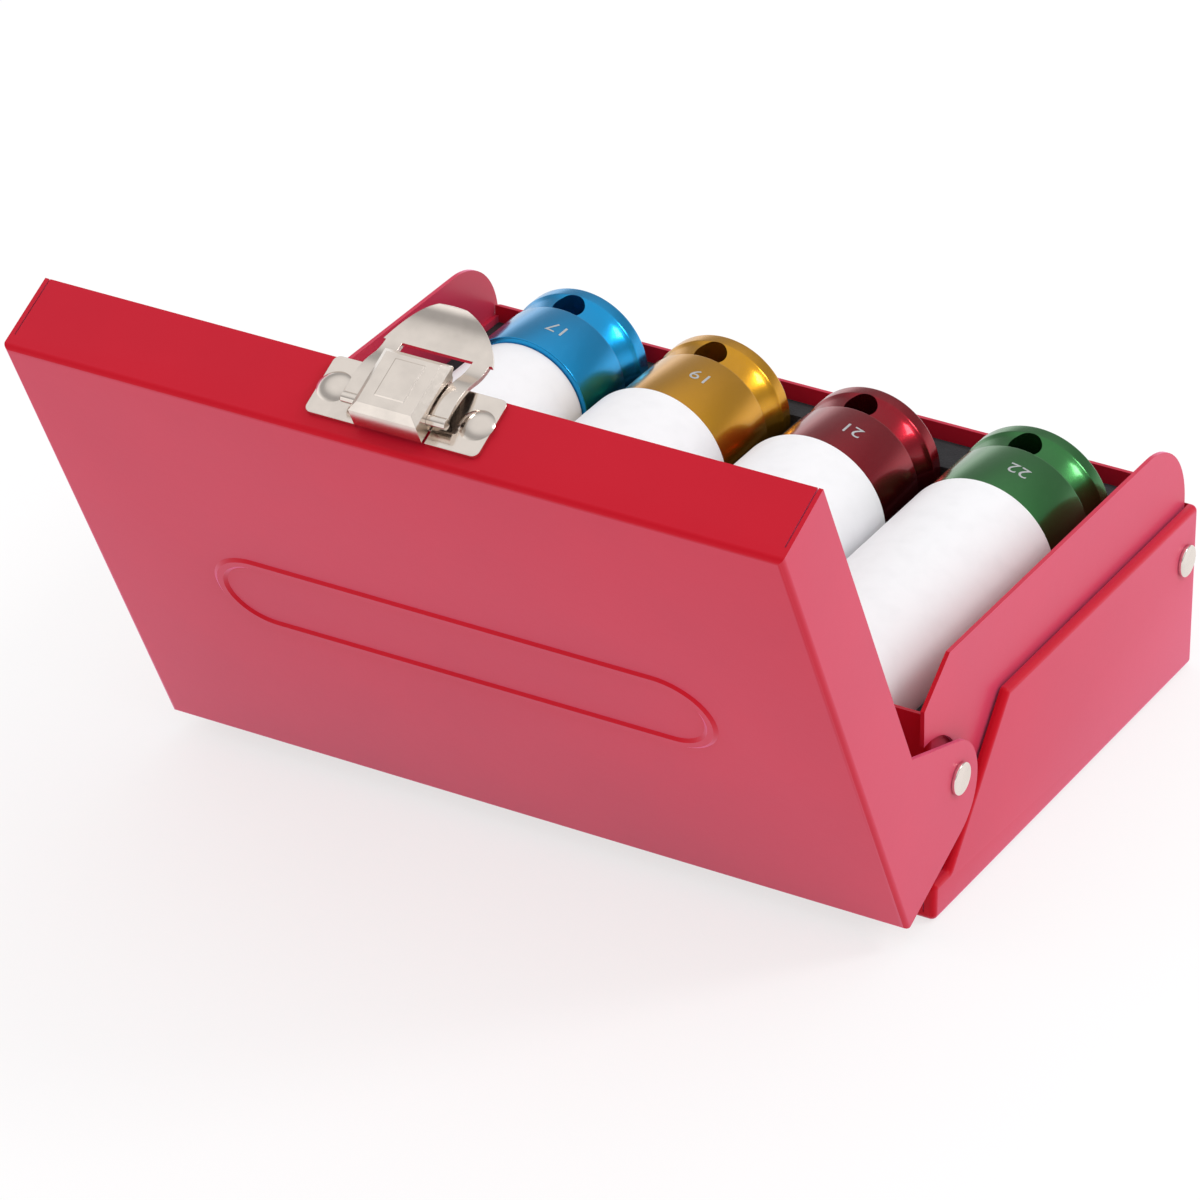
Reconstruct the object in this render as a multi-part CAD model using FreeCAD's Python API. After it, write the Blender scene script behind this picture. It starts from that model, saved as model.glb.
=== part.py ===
"""Sheet-steel socket case: a shallow base, a socket tray riveted inside it and a hinged lid.

The frame has its origin on the underside of the base, at the middle of its footprint.
+Z is up, the hinge is on the +Y side and the latch on the -Y side.  Millimetres.
Side outlines are given as (s, z): s is measured from the rear face of the base towards
the latch, z from the underside.  Latch outlines are given as (v, h): v runs down the
front wall of the closed lid from its top, h stands out from that wall.
"""
import FreeCAD, Part
import math
import os

# ---------------------------------------------------------------- sheet and bends
SHEET = 0.8
BEND = 1.2
PLAY = 0.3

# ---------------------------------------------------------------- base
BASE_WIDTH = 150.0
BASE_DEPTH = 103.3
BASE_HEIGHT = 33.4
BASE_REAR_HEIGHT = 7.4
CHAMFER_TOP = 26.5
CHAMFER_LOW = 5.8
RIM_FLANGE = 1.7
SEAM_INSET = 2.2
SEAM_WIDTH = 0.2
RELIEF_RADIUS = 0.9

# ---------------------------------------------------------------- tray
TRAY_SIDE_GAP = 0.5
TRAY_LIFT = 0.6
TRAY_REAR_GAP = 1.1
TRAY_FRONT_GAP = 1.4
TRAY_BEND = 1.6
TRAY_REAR_HEIGHT = 39.8
TRAY_FRONT_HEIGHT = 37.7
TRAY_LID_GAP = 0.45
CHEEK_FRONT_GAP = 0.8
CHEEK_REAR_OVERHANG = 1.7
CHEEK_REAR_LEAN = 0.5
CHEEK_KINK_SETBACK = 7.4
CHEEK_KINK_HEIGHT = 42.7
CHEEK_NOSE_RADIUS = 15.9
NOTCH_RADIUS = 12.15
NOTCH_SETBACK = 0.2
NOTCH_HEIGHT = 23.6
TAB_LENGTH = 13.0
TAB_LOW = 6.0
TAB_TOP_DROP = 2.0
CHEEK_FOOT = 4.0

# ---------------------------------------------------------------- lid and its hinge
HINGE_SETBACK = 7.8
HINGE_HEIGHT = 25.4
LID_OPEN_ANGLE = 116.5
LID_SIDE_STANDOFF = 0.1
LID_TOP = 51.3
LID_DEPTH = 15.5
LID_REAR_OVERHANG = 3.2
LID_FRONT_OVERHANG = 1.6
LID_REAR_STOP_GAP = 0.35
EAR_RADIUS = 10.4
EAR_DROP = 21.85
EAR_NOTCH = 27.7
LID_CORNER_SEAM = 0.25
LID_SEAM_TOP = 3.0
BEAD_LENGTH = 98.0
BEAD_HALF_WIDTH = 9.5
BEAD_WIDTH = 1.2
BEAD_RISE = 0.45
BEAD_SLOPE = 0.7
BEAD_SETBACK = 47.8

# ---------------------------------------------------------------- pivot rivets
TRAY_PIVOT_INSET = 5.0
TRAY_PIVOT_HEIGHT = 24.0
RIVET_HEAD_RADIUS = 3.05
RIVET_HEAD = 0.7
RIVET_HEAD_BEVEL = 0.25
RIVET_SHANK_RADIUS = 1.5
RIVET_SHOULDER_RADIUS = 2.6
RIVET_TAIL_RADIUS = 1.9
RIVET_TAIL = 0.9
RUNNING = 0.06
HEAD_GAP = 0.1

# ---------------------------------------------------------------- foam and sockets
FOAM_TOP = 35.0
FOAM_END_WALLS = 3.0
FOAM_ROW_SHIFT = 0.45
FOAM_SIDE_GAP = 1.0
FOAM_END_GAP = 0.2
FOAM_LIFT = 0.1
FOAM_CORNER = 1.5
SOCKET_AXIS_HEIGHT = 34.4
SOCKET_LENGTH = 85.0
POCKET_GAP = 0.3
DRIVE_SQUARE = 12.7
DRIVE_DEPTH = 14.0
BORE_RADIUS = 6.9
HEX_DEPTH = 26.0
END_CHAMFER = 0.8
RING_LENGTH = 3.5
COVE_LENGTH = 6.0
COVE_DEPTH = 1.35
COVE_KNEE = 0.35
PIN_HOLE_RADIUS = 2.9
SLEEVE_WALL = 2.0
SLEEVE_GAP = 0.05
SLEEVE_ROUND = 0.5
SOCKET_17_CROWN = 23.6
SOCKET_17_CROWN_RADIUS = 14.15
SOCKET_17_SLEEVE_RADIUS = 13.15
SOCKET_17_SLIDE = 0.72
SOCKET_19_CROWN = 27.3
SOCKET_19_CROWN_RADIUS = 14.05
SOCKET_19_SLEEVE_RADIUS = 15.3
SOCKET_19_SLIDE = 0.45
SOCKET_21_CROWN = 25.4
SOCKET_21_CROWN_RADIUS = 13.9
SOCKET_21_SLEEVE_RADIUS = 15.65
SOCKET_21_SLIDE = 0.1
SOCKET_22_CROWN = 24.1
SOCKET_22_CROWN_RADIUS = 15.1
SOCKET_22_SLEEVE_RADIUS = 15.5
SOCKET_22_SLIDE = 0.05

# ---------------------------------------------------------------- latch
PLATE_WIDTH = 33.4
PLATE_TOP = 3.3
PLATE_BOTTOM = 15.4
PLATE_SHEET = 0.9
PLATE_CORNER = 1.3
PLATE_WINDOW = 13.4
PLATE_NOTCH = 14.2
PLATE_WINDOW_RISE = 2.6
PLATE_NOTCH_RISE = 1.9
LATCH_RIVET_OFFSET = 13.7
LATCH_RIVET_DROP = 9.3
LATCH_RIVET_RADIUS = 3.2
LATCH_RIVET_RISE = 1.3
LATCH_RIVET_SHANK = 1.4
LEVER_PIN_DROP = 13.5
LEVER_PIN_RISE = 3.2
LEVER_PIN_RADIUS = 1.0
PIVOT_EAR_RADIUS = 1.7
PIVOT_EAR_OFFSET = 4.0
PIVOT_STEM_REACH = 1.25
LEVER_TOP_RISE = 6.5
LEVER_HEAD_DROP = 3.0
LEVER_NOSE_DROP = 16.5
LEVER_SKIRT_END = 15.6
LEVER_HALF_WIDTH = 6.5
LEVER_BEVEL = 1.3
LEVER_NOSE = 1.9
LEVER_SHEET = 0.8
LEVER_FOOT_RISE = 1.2
LEVER_PAD_WIDTH = 5.9
LEVER_PAD_TOP = 6.2
LEVER_PAD_BOTTOM = 14.3
LEVER_PAD_RISE = 0.25
ARCH_DROP = 9.4
ARCH_RISE = 2.2
ARCH_RADIUS = 1.3
BAIL_PIN_DROP = 6.6
BAIL_PIN_RISE = 3.0
BAIL_PIN_RADIUS = 1.0
BAIL_SHEET = 0.9
BAIL_GAP = 0.3
BAIL_LEG_WIDTH = 3.2
BAIL_LIP_OVERHANG = 0.5
BAIL_START_SLOPE = 16.0
BAIL_SWAY_DROP = 16.4
BAIL_SWAY_RISE = 1.75
BAIL_SLOT_DROP = 21.0
BAIL_TIP_DROP = 28.8
BAIL_TIP_RISE = 3.6
KEEPER_HALF_WIDTH = 8.0
KEEPER_SHEET = 0.35
KEEPER_TONGUE = 0.6
KEEPER_TONGUE_HEIGHT = 1.4
KEEPER_LOW = 19.5
KEEPER_TOP_GAP = 0.9
KEEPER_RIVET_OFFSET = 4.5
KEEPER_RIVET_HEIGHT = 23.0
KEEPER_RIVET_RADIUS = 1.6
KEEPER_RIVET_HEAD = 0.2

# ---------------------------------------------------------------- sizes worked out from the above
REAR_Y = BASE_DEPTH / 2
TRAY_PIVOT_SETBACK = BASE_DEPTH - TRAY_PIVOT_INSET
BASE_X = BASE_WIDTH / 2
BASE_INNER_X = BASE_X - SHEET
RIM_TIP_X = BASE_X - RIM_FLANGE
TRAY_X = RIM_TIP_X - TRAY_SIDE_GAP
TRAY_INNER_X = TRAY_X - SHEET
TAB_INNER_X = TRAY_INNER_X - SHEET
TRAY_FLOOR = SHEET + TRAY_LIFT
TRAY_REAR = SHEET + TRAY_REAR_GAP
TRAY_FRONT = BASE_DEPTH - SHEET - TRAY_FRONT_GAP
CHEEK_TOP = LID_TOP - SHEET - TRAY_LID_GAP
CHEEK_FRONT = BASE_DEPTH - SHEET - CHEEK_FRONT_GAP
LID_X = BASE_X + LID_SIDE_STANDOFF
LID_INNER_X = LID_X - SHEET
LID_REAR = -LID_REAR_OVERHANG
LID_FRONT = BASE_DEPTH + LID_FRONT_OVERHANG
LID_EDGE = LID_TOP - LID_DEPTH
FOAM_X = TRAY_INNER_X - FOAM_SIDE_GAP
FOAM_REAR = TRAY_REAR + SHEET + FOAM_END_GAP
FOAM_FRONT = TRAY_FRONT - SHEET - FOAM_END_GAP
FOAM_LENGTH = FOAM_FRONT - FOAM_REAR
LEG_INNER_X = LEVER_HALF_WIDTH + BAIL_GAP
LEG_OUTER_X = LEG_INNER_X + BAIL_LEG_WIDTH


class SocketSize:
    """One impact socket: hexagon, turned diameters and where it lies in its pocket row."""

    def __init__(self, hexagon, crown, crown_radius, sleeve_radius, slide):
        self.hexagon = hexagon
        self.crown = crown
        self.crown_radius = crown_radius
        self.sleeve_radius = sleeve_radius
        self.core_radius = sleeve_radius - SLEEVE_WALL
        self.pocket_radius = max(crown_radius, sleeve_radius) + POCKET_GAP
        self.near_end = FOAM_REAR + POCKET_GAP + slide * (FOAM_LENGTH - SOCKET_LENGTH - 2 * POCKET_GAP)
        self.drive_end = self.near_end + SOCKET_LENGTH
        self.x = 0.0


def socket_row():
    """The sockets from +X to -X, with equal foam walls between them and wider ones at both ends."""
    row = [
        SocketSize(17, SOCKET_17_CROWN, SOCKET_17_CROWN_RADIUS, SOCKET_17_SLEEVE_RADIUS, SOCKET_17_SLIDE),
        SocketSize(19, SOCKET_19_CROWN, SOCKET_19_CROWN_RADIUS, SOCKET_19_SLEEVE_RADIUS, SOCKET_19_SLIDE),
        SocketSize(21, SOCKET_21_CROWN, SOCKET_21_CROWN_RADIUS, SOCKET_21_SLEEVE_RADIUS, SOCKET_21_SLIDE),
        SocketSize(22, SOCKET_22_CROWN, SOCKET_22_CROWN_RADIUS, SOCKET_22_SLEEVE_RADIUS, SOCKET_22_SLIDE),
    ]
    spare = 2 * FOAM_X - sum(2 * size.pocket_radius for size in row)
    wall = spare / (2 * FOAM_END_WALLS + len(row) - 1)
    edge = FOAM_X - FOAM_END_WALLS * wall - FOAM_ROW_SHIFT
    for size in row:
        size.x = edge - size.pocket_radius
        edge -= 2 * size.pocket_radius + wall
    return row


# ---------------------------------------------------------------- drawing helpers
def side(s, z, x=0.0):
    """A point of a side outline."""
    return FreeCAD.Vector(x, REAR_Y - s, z)


def latch(v, h, x=0.0):
    """A point of a latch outline, on the closed lid."""
    return FreeCAD.Vector(x, REAR_Y - LID_FRONT - h, LID_TOP - v)


def polygon(points):
    """A flat face inside a closed run of points."""
    return Part.Face(Part.makePolygon(points + [points[0]]))


def arc(first, middle, last):
    """An arc edge through three points."""
    return Part.Arc(first, middle, last).toShape()


def line(first, last):
    """A straight edge."""
    return Part.LineSegment(first, last).toShape()


def across(face, x_low, x_high):
    """Extrude a face drawn at x = 0 so that it runs from x_low to x_high."""
    moved = face.copy()
    moved.translate(FreeCAD.Vector(x_low, 0, 0))
    return moved.extrude(FreeCAD.Vector(x_high - x_low, 0, 0))


def block(x_low, x_high, s_low, s_high, z_low, z_high):
    """A box between two x, two s and two z values."""
    corner = FreeCAD.Vector(x_low, REAR_Y - s_high, z_low)
    return Part.makeBox(x_high - x_low, s_high - s_low, z_high - z_low, corner)


def latch_block(x_low, x_high, v_low, v_high, h_low, h_high):
    """A box between two x, two v and two h values."""
    corner = latch(v_high, h_high, x_low)
    return Part.makeBox(x_high - x_low, h_high - h_low, v_high - v_low, corner)


def rod(radius, x_low, x_high, centre):
    """A round bar along X through a point of an outline."""
    start = FreeCAD.Vector(x_low, centre.y, centre.z)
    return Part.makeCylinder(radius, x_high - x_low, start, FreeCAD.Vector(1, 0, 0))


def mirrored(shape):
    """The same shape on the other side of the middle plane."""
    return shape.mirror(FreeCAD.Vector(0, 0, 0), FreeCAD.Vector(1, 0, 0))


def both_sides(shape):
    """A shape together with its mirror image."""
    return [shape, mirrored(shape)]


def joined(shapes):
    """Fuse shapes into one and merge the faces that lie in one surface."""
    result = shapes[0].multiFuse(shapes[1:])
    return result.removeSplitter()


def edges_where(shape, test):
    """The straight edges of a shape whose two end points pass a test."""
    found = []
    for edge in shape.Edges:
        ends = [vertex.Point for vertex in edge.Vertexes]
        if len(ends) == 2 and test(ends[0]) and test(ends[1]):
            found.append(edge)
    return found


def near(value, target):
    """True when two lengths agree."""
    return abs(value - target) < 1e-4


def tangent_point(centre, radius, outside, turn):
    """Where a line from an outside point touches a circle, in (s, z)."""
    ds = outside[0] - centre[0]
    dz = outside[1] - centre[1]
    angle = math.atan2(dz, ds) + turn * math.acos(radius / math.hypot(ds, dz))
    return (centre[0] + radius * math.cos(angle), centre[1] + radius * math.sin(angle))


def on_circle(centre, radius, degrees):
    """A point of a circle, in (s, z)."""
    angle = math.radians(degrees)
    return (centre[0] + radius * math.cos(angle), centre[1] + radius * math.sin(angle))


def opened(shape):
    """Swing a piece of the closed lid back to the angle at which the lid rests open."""
    result = shape.copy()
    result.rotate(side(HINGE_SETBACK, HINGE_HEIGHT), FreeCAD.Vector(1, 0, 0), -LID_OPEN_ANGLE)
    return result


# ---------------------------------------------------------------- base
def base_outline(inset):
    """The side outline of the base, moved inwards by an inset all round but the rear."""
    run = CHAMFER_TOP - CHAMFER_LOW
    rise = BASE_HEIGHT - BASE_REAR_HEIGHT
    length = math.hypot(run, rise)
    low = (CHAMFER_LOW + inset * rise / length, BASE_REAR_HEIGHT - inset * run / length)
    slope = rise / run
    top_z = BASE_HEIGHT - inset
    step_z = BASE_REAR_HEIGHT - inset
    top_s = low[0] + (top_z - low[1]) / slope
    step_s = low[0] + (step_z - low[1]) / slope
    return [
        side(inset, inset),
        side(BASE_DEPTH - inset, inset),
        side(BASE_DEPTH - inset, top_z),
        side(top_s, top_z),
        side(step_s, step_z),
        side(inset, step_z),
    ]


def base_shell():
    """The folded base: rounded folds, and a narrow flange turned in along the two sides."""
    body = across(polygon(base_outline(0.0)), -BASE_X, BASE_X)

    def on_a_side(point):
        return near(abs(point.x), BASE_X)

    def on_the_floor(point):
        return near(point.z, 0.0)

    side_edges = edges_where(body, on_a_side)
    floor_edges = edges_where(body, on_the_floor)
    folds = list({edge.hashCode(): edge for edge in side_edges + floor_edges}.values())
    body = body.makeFillet(BEND, folds)

    inner = across(polygon(base_outline(SHEET)), -BASE_INNER_X, BASE_INNER_X)
    inner_floor = edges_where(inner, lambda point: near(point.z, SHEET))
    inner = inner.makeFillet(BEND - SHEET, inner_floor)
    mouth = block(-RIM_TIP_X, RIM_TIP_X, SHEET, BASE_DEPTH - SHEET, SHEET + BEND, BASE_HEIGHT + BEND)
    body = body.cut(inner).cut(mouth)

    seam_x = BASE_X - SEAM_INSET
    cuts = []
    seam = block(seam_x - SEAM_WIDTH, seam_x, -BEND, SHEET + PLAY, BEND + PLAY, BASE_HEIGHT)
    relief = Part.makeCylinder(
        RELIEF_RADIUS, SHEET + BEND + PLAY,
        side(SHEET + PLAY, BASE_REAR_HEIGHT, seam_x - SEAM_WIDTH / 2), FreeCAD.Vector(0, 1, 0))
    cuts += both_sides(seam)
    cuts += both_sides(relief)
    pivot = side(TRAY_PIVOT_SETBACK, TRAY_PIVOT_HEIGHT)
    cuts.append(rod(RIVET_SHANK_RADIUS + RUNNING, -BASE_X - BEND, BASE_X + BEND, pivot))
    for x in (-KEEPER_RIVET_OFFSET, KEEPER_RIVET_OFFSET):
        cuts.append(keeper_rod(KEEPER_RIVET_RADIUS / 2, x, -SHEET - BEND, KEEPER_SHEET))
    for tool in cuts:
        body = body.cut(tool)
    return body


def keeper_rod(radius, x, out_low, out_high):
    """A round bar through the front wall; lengths are measured outwards from its face."""
    start = side(BASE_DEPTH + out_low, KEEPER_RIVET_HEIGHT, x)
    return Part.makeCylinder(radius, out_high - out_low, start, FreeCAD.Vector(0, -1, 0))


def keeper_plate():
    """The catch on the front wall: a thin plate whose upper edge is folded into a low tongue."""
    top = BASE_HEIGHT - KEEPER_TOP_GAP
    plate = block(-KEEPER_HALF_WIDTH, KEEPER_HALF_WIDTH,
                  BASE_DEPTH, BASE_DEPTH + KEEPER_SHEET, KEEPER_LOW, top)
    upright = [edge for edge in plate.Edges if is_depthwise(edge)]
    plate = plate.makeFillet(PLATE_CORNER, upright)
    tongue = block(-LEG_INNER_X + PLAY, LEG_INNER_X - PLAY,
                   BASE_DEPTH, BASE_DEPTH + KEEPER_TONGUE, top - KEEPER_TONGUE_HEIGHT, top)
    body = joined([plate, tongue])
    for x in (-KEEPER_RIVET_OFFSET, KEEPER_RIVET_OFFSET):
        body = body.cut(keeper_rod(KEEPER_RIVET_RADIUS / 2, x, -PLAY, KEEPER_SHEET + PLAY))
    return body


def is_depthwise(edge):
    """True for an edge that runs along Y."""
    first = edge.Vertexes[0].Point
    last = edge.Vertexes[-1].Point
    return near(first.x, last.x) and near(first.z, last.z)


def keeper_rivets():
    """Two small flat rivets that hold the keeper."""
    rivets = []
    for x in (-KEEPER_RIVET_OFFSET, KEEPER_RIVET_OFFSET):
        shank = keeper_rod(KEEPER_RIVET_RADIUS / 2, x, -SHEET, KEEPER_SHEET)
        head = keeper_rod(KEEPER_RIVET_RADIUS, x, KEEPER_SHEET, KEEPER_SHEET + KEEPER_RIVET_HEAD)
        tail = keeper_rod(KEEPER_RIVET_RADIUS, x, -SHEET - KEEPER_RIVET_HEAD, -SHEET)
        rivets.append(joined([shank, head, tail]))
    return rivets


# ---------------------------------------------------------------- tray
def cheek_face():
    """The outline of one side of the tray, above and below its round notch."""
    nose = (CHEEK_FRONT - CHEEK_NOSE_RADIUS, CHEEK_TOP - CHEEK_NOSE_RADIUS)
    nose_mid = on_circle(nose, CHEEK_NOSE_RADIUS, 45.0)
    heel = TRAY_REAR + BEND
    foot_s = TRAY_FRONT - TRAY_BEND
    rear_low = -CHEEK_REAR_OVERHANG + CHEEK_REAR_LEAN
    notch_low = NOTCH_HEIGHT - NOTCH_RADIUS
    front = [side(heel, TRAY_FLOOR), side(foot_s, TRAY_FLOOR), side(CHEEK_FRONT, CHEEK_FOOT),
             side(CHEEK_FRONT, nose[1])]
    rear = [side(nose[0], CHEEK_TOP), side(CHEEK_KINK_SETBACK, CHEEK_TOP),
            side(-CHEEK_REAR_OVERHANG, CHEEK_KINK_HEIGHT),
            side(rear_low, NOTCH_HEIGHT), side(rear_low, notch_low + CHEEK_FOOT),
            side(heel, notch_low), side(heel, TRAY_FLOOR)]
    edges = [line(front[i], front[i + 1]) for i in range(len(front) - 1)]
    edges.append(arc(front[-1], side(nose_mid[0], nose_mid[1]), rear[0]))
    edges += [line(rear[i], rear[i + 1]) for i in range(len(rear) - 1)]
    return Part.Face(Part.Wire(edges))


def tray_tub():
    """Floor and walls of the tray before its sides are cut to shape."""
    outer = block(-TRAY_X, TRAY_X, TRAY_REAR, TRAY_FRONT, TRAY_FLOOR, CHEEK_TOP)
    outer = outer.makeFillet(TRAY_BEND, edges_where(outer, lambda point: near(point.z, TRAY_FLOOR)))
    floor_top = TRAY_FLOOR + SHEET
    inner = block(-TRAY_INNER_X, TRAY_INNER_X, TRAY_REAR + SHEET, TRAY_FRONT - SHEET,
                  floor_top, CHEEK_TOP + BEND)
    inner = inner.makeFillet(TRAY_BEND - SHEET, edges_where(inner, lambda point: near(point.z, floor_top)))
    return outer.cut(inner)


def insert_tray():
    """The socket tray: end walls with tabs folded inside two shaped cheeks."""
    tub = tray_tub()
    over_rear = block(-TRAY_X, TRAY_X, TRAY_REAR - PLAY, BASE_DEPTH / 2, TRAY_REAR_HEIGHT, LID_TOP)
    over_front = block(-TRAY_X, TRAY_X, BASE_DEPTH / 2, TRAY_FRONT + PLAY, TRAY_FRONT_HEIGHT, LID_TOP)
    strip = block(TRAY_INNER_X, TRAY_X, TRAY_REAR - PLAY, TRAY_FRONT + PLAY, TRAY_FLOOR + TRAY_BEND, LID_TOP)
    tub = tub.cut(over_rear).cut(over_front)
    for tool in both_sides(strip):
        tub = tub.cut(tool)

    cheek = across(cheek_face(), TRAY_INNER_X, TRAY_X)
    under = block(TRAY_INNER_X - PLAY, TRAY_X + PLAY, 0, BASE_DEPTH, 0, TRAY_FLOOR + TRAY_BEND)
    notch = rod(NOTCH_RADIUS, TRAY_INNER_X - PLAY, TRAY_X + PLAY, side(NOTCH_SETBACK, NOTCH_HEIGHT))
    cheek = cheek.cut(under).cut(notch)

    rear_tab = block(TAB_INNER_X, TRAY_INNER_X, TRAY_REAR, TRAY_REAR + TAB_LENGTH,
                     TAB_LOW, TRAY_REAR_HEIGHT - TAB_TOP_DROP)
    front_tab = block(TAB_INNER_X, TRAY_INNER_X, TRAY_FRONT - TAB_LENGTH, TRAY_FRONT,
                      TAB_LOW, TRAY_FRONT_HEIGHT - TAB_TOP_DROP)
    body = joined([tub] + both_sides(cheek) + both_sides(rear_tab) + both_sides(front_tab))

    for tool in both_sides(corner_groove(TRAY_REAR, 1)) + both_sides(corner_groove(TRAY_FRONT, -1)):
        body = body.cut(tool)
    for setback, height in ((TRAY_PIVOT_SETBACK, TRAY_PIVOT_HEIGHT), (HINGE_SETBACK, HINGE_HEIGHT)):
        body = body.cut(rod(RIVET_SHANK_RADIUS, -TRAY_X - BEND, TRAY_X + BEND, side(setback, height)))
    return body


def corner_groove(wall_s, inwards):
    """The groove outside an upright fold, between the rounded fold and the cheek beside it."""
    centre = side(wall_s + inwards * BEND, 0, TRAY_INNER_X - BEND)
    low = TRAY_FLOOR + TRAY_BEND
    height = LID_TOP - low
    square = Part.makeBox(BEND, BEND, height,
                          FreeCAD.Vector(centre.x, min(centre.y, centre.y + inwards * BEND), low))
    fold = Part.makeCylinder(BEND, height, FreeCAD.Vector(centre.x, centre.y, low))
    return square.cut(fold)


# ---------------------------------------------------------------- lid
def ear_face():
    """The outline of the ear that hangs from one side of the closed lid."""
    centre = (LID_REAR + EAR_RADIUS, LID_TOP - EAR_DROP)
    notch = (EAR_NOTCH, LID_EDGE)
    touch = tangent_point(centre, EAR_RADIUS, notch, -1)
    rear = (LID_REAR, centre[1])
    low = on_circle(centre, EAR_RADIUS, -115.0)
    overlap = LID_EDGE + BEND
    edges = [
        line(side(LID_REAR, overlap), side(*rear)),
        arc(side(*rear), side(*low), side(*touch)),
        line(side(*touch), side(*notch)),
        line(side(*notch), side(EAR_NOTCH, overlap)),
        line(side(EAR_NOTCH, overlap), side(LID_REAR, overlap)),
    ]
    return Part.Face(Part.Wire(edges))


def rear_wall_edge():
    """Height on the closed lid at which its rear wall ends, so that it stops on the tray."""
    angle = math.radians(LID_OPEN_ANGLE)
    reach = HINGE_SETBACK - LID_REAR
    stop = TRAY_REAR - LID_REAR_STOP_GAP
    drop = (HINGE_SETBACK - reach * math.cos(angle) - stop) / math.sin(angle)
    return HINGE_HEIGHT + drop


def stadium(half_width, z):
    """A closed long outline with round ends, level at z, centred on the lid's pressed bead."""
    reach = BEAD_LENGTH / 2 - BEAD_HALF_WIDTH
    near_y = REAR_Y - BEAD_SETBACK - half_width
    far_y = REAR_Y - BEAD_SETBACK + half_width
    middle = REAR_Y - BEAD_SETBACK
    corners = [FreeCAD.Vector(x, y, z) for x, y in
               ((-reach, near_y), (reach, near_y), (reach, far_y), (-reach, far_y))]
    right = FreeCAD.Vector(reach + half_width, middle, z)
    left = FreeCAD.Vector(-reach - half_width, middle, z)
    return Part.Wire([line(corners[0], corners[1]), arc(corners[1], right, corners[2]),
                      line(corners[2], corners[3]), arc(corners[3], left, corners[0])])


def bead(drop):
    """The pressed bead as a solid ring with sloping flanks, lowered by a drop."""
    low = LID_TOP - drop
    high = low + BEAD_RISE
    rim = [stadium(BEAD_HALF_WIDTH + BEAD_SLOPE, low), stadium(BEAD_HALF_WIDTH, high)]
    outer = Part.makeLoft(rim, True, True)
    inside = BEAD_HALF_WIDTH - BEAD_WIDTH
    well = Part.makeLoft([stadium(inside - BEAD_SLOPE, low), stadium(inside, high)], True, True)
    return outer.cut(well)


def lid_shell():
    """The folded lid: two ears, open seams at its front corners and a plain pressed bead."""
    body = block(-LID_X, LID_X, LID_REAR, LID_FRONT, LID_EDGE, LID_TOP)
    body = body.makeFillet(BEND, edges_where(body, lambda point: near(point.z, LID_TOP)))
    body = joined([body] + both_sides(across(ear_face(), LID_INNER_X, LID_X)))

    inner_top = LID_TOP - SHEET
    inner = block(-LID_INNER_X, LID_INNER_X, LID_REAR + SHEET, LID_FRONT - SHEET,
                  LID_EDGE - EAR_DROP, inner_top)
    inner = inner.makeFillet(BEND - SHEET, edges_where(inner, lambda point: near(point.z, inner_top)))
    rear_gap = block(-LID_INNER_X, LID_INNER_X, LID_REAR - PLAY, LID_REAR + SHEET + PLAY,
                     LID_EDGE - EAR_DROP, rear_wall_edge())
    body = body.cut(inner).cut(rear_gap)

    seam = block(LID_INNER_X - LID_CORNER_SEAM, LID_INNER_X, LID_FRONT - SHEET - PLAY, LID_FRONT + PLAY,
                 LID_EDGE - PLAY, LID_TOP - LID_SEAM_TOP)
    for tool in both_sides(seam):
        body = body.cut(tool)
    body = body.fuse(bead(0.0)).cut(bead(SHEET))

    body = body.cut(rod(RIVET_SHANK_RADIUS + RUNNING, -LID_X - BEND, LID_X + BEND,
                        side(HINGE_SETBACK, HINGE_HEIGHT)))
    for x in (-LATCH_RIVET_OFFSET, LATCH_RIVET_OFFSET):
        body = body.cut(latch_rod(LATCH_RIVET_SHANK, x, -SHEET - BEND, PLATE_SHEET))
    return opened(body.removeSplitter())


# ---------------------------------------------------------------- pivot rivets
def pivot_rivet(setback, height, outer_x, inner_x, neck_x):
    """A shouldered rivet on the +X side, from its outer head to the tail inside the tray."""
    centre = side(setback, height)
    head_x = outer_x + HEAD_GAP
    head = rod(RIVET_HEAD_RADIUS, head_x, head_x + RIVET_HEAD, centre)
    rim = [edge for edge in head.Edges if near(edge.BoundBox.XMin, head_x + RIVET_HEAD)]
    head = head.makeChamfer(RIVET_HEAD_BEVEL, rim)
    shank = rod(RIVET_SHANK_RADIUS, TAB_INNER_X, head_x, centre)
    shoulder = rod(RIVET_SHOULDER_RADIUS, neck_x, inner_x - HEAD_GAP, centre)
    tail = rod(RIVET_TAIL_RADIUS, TAB_INNER_X - RIVET_TAIL, TAB_INNER_X, centre)
    return joined([head, shank, shoulder, tail])


def front_pivot_rivets():
    """The pair that carries the tray on the sides of the base."""
    rivet = pivot_rivet(TRAY_PIVOT_SETBACK, TRAY_PIVOT_HEIGHT, BASE_X, BASE_INNER_X, TRAY_X)
    return both_sides(rivet)


def rear_pivot_rivets():
    """The pair that carries the lid on the tabs of the tray."""
    rivet = pivot_rivet(HINGE_SETBACK, HINGE_HEIGHT, LID_X, LID_INNER_X, TRAY_INNER_X)
    return both_sides(rivet)


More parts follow.
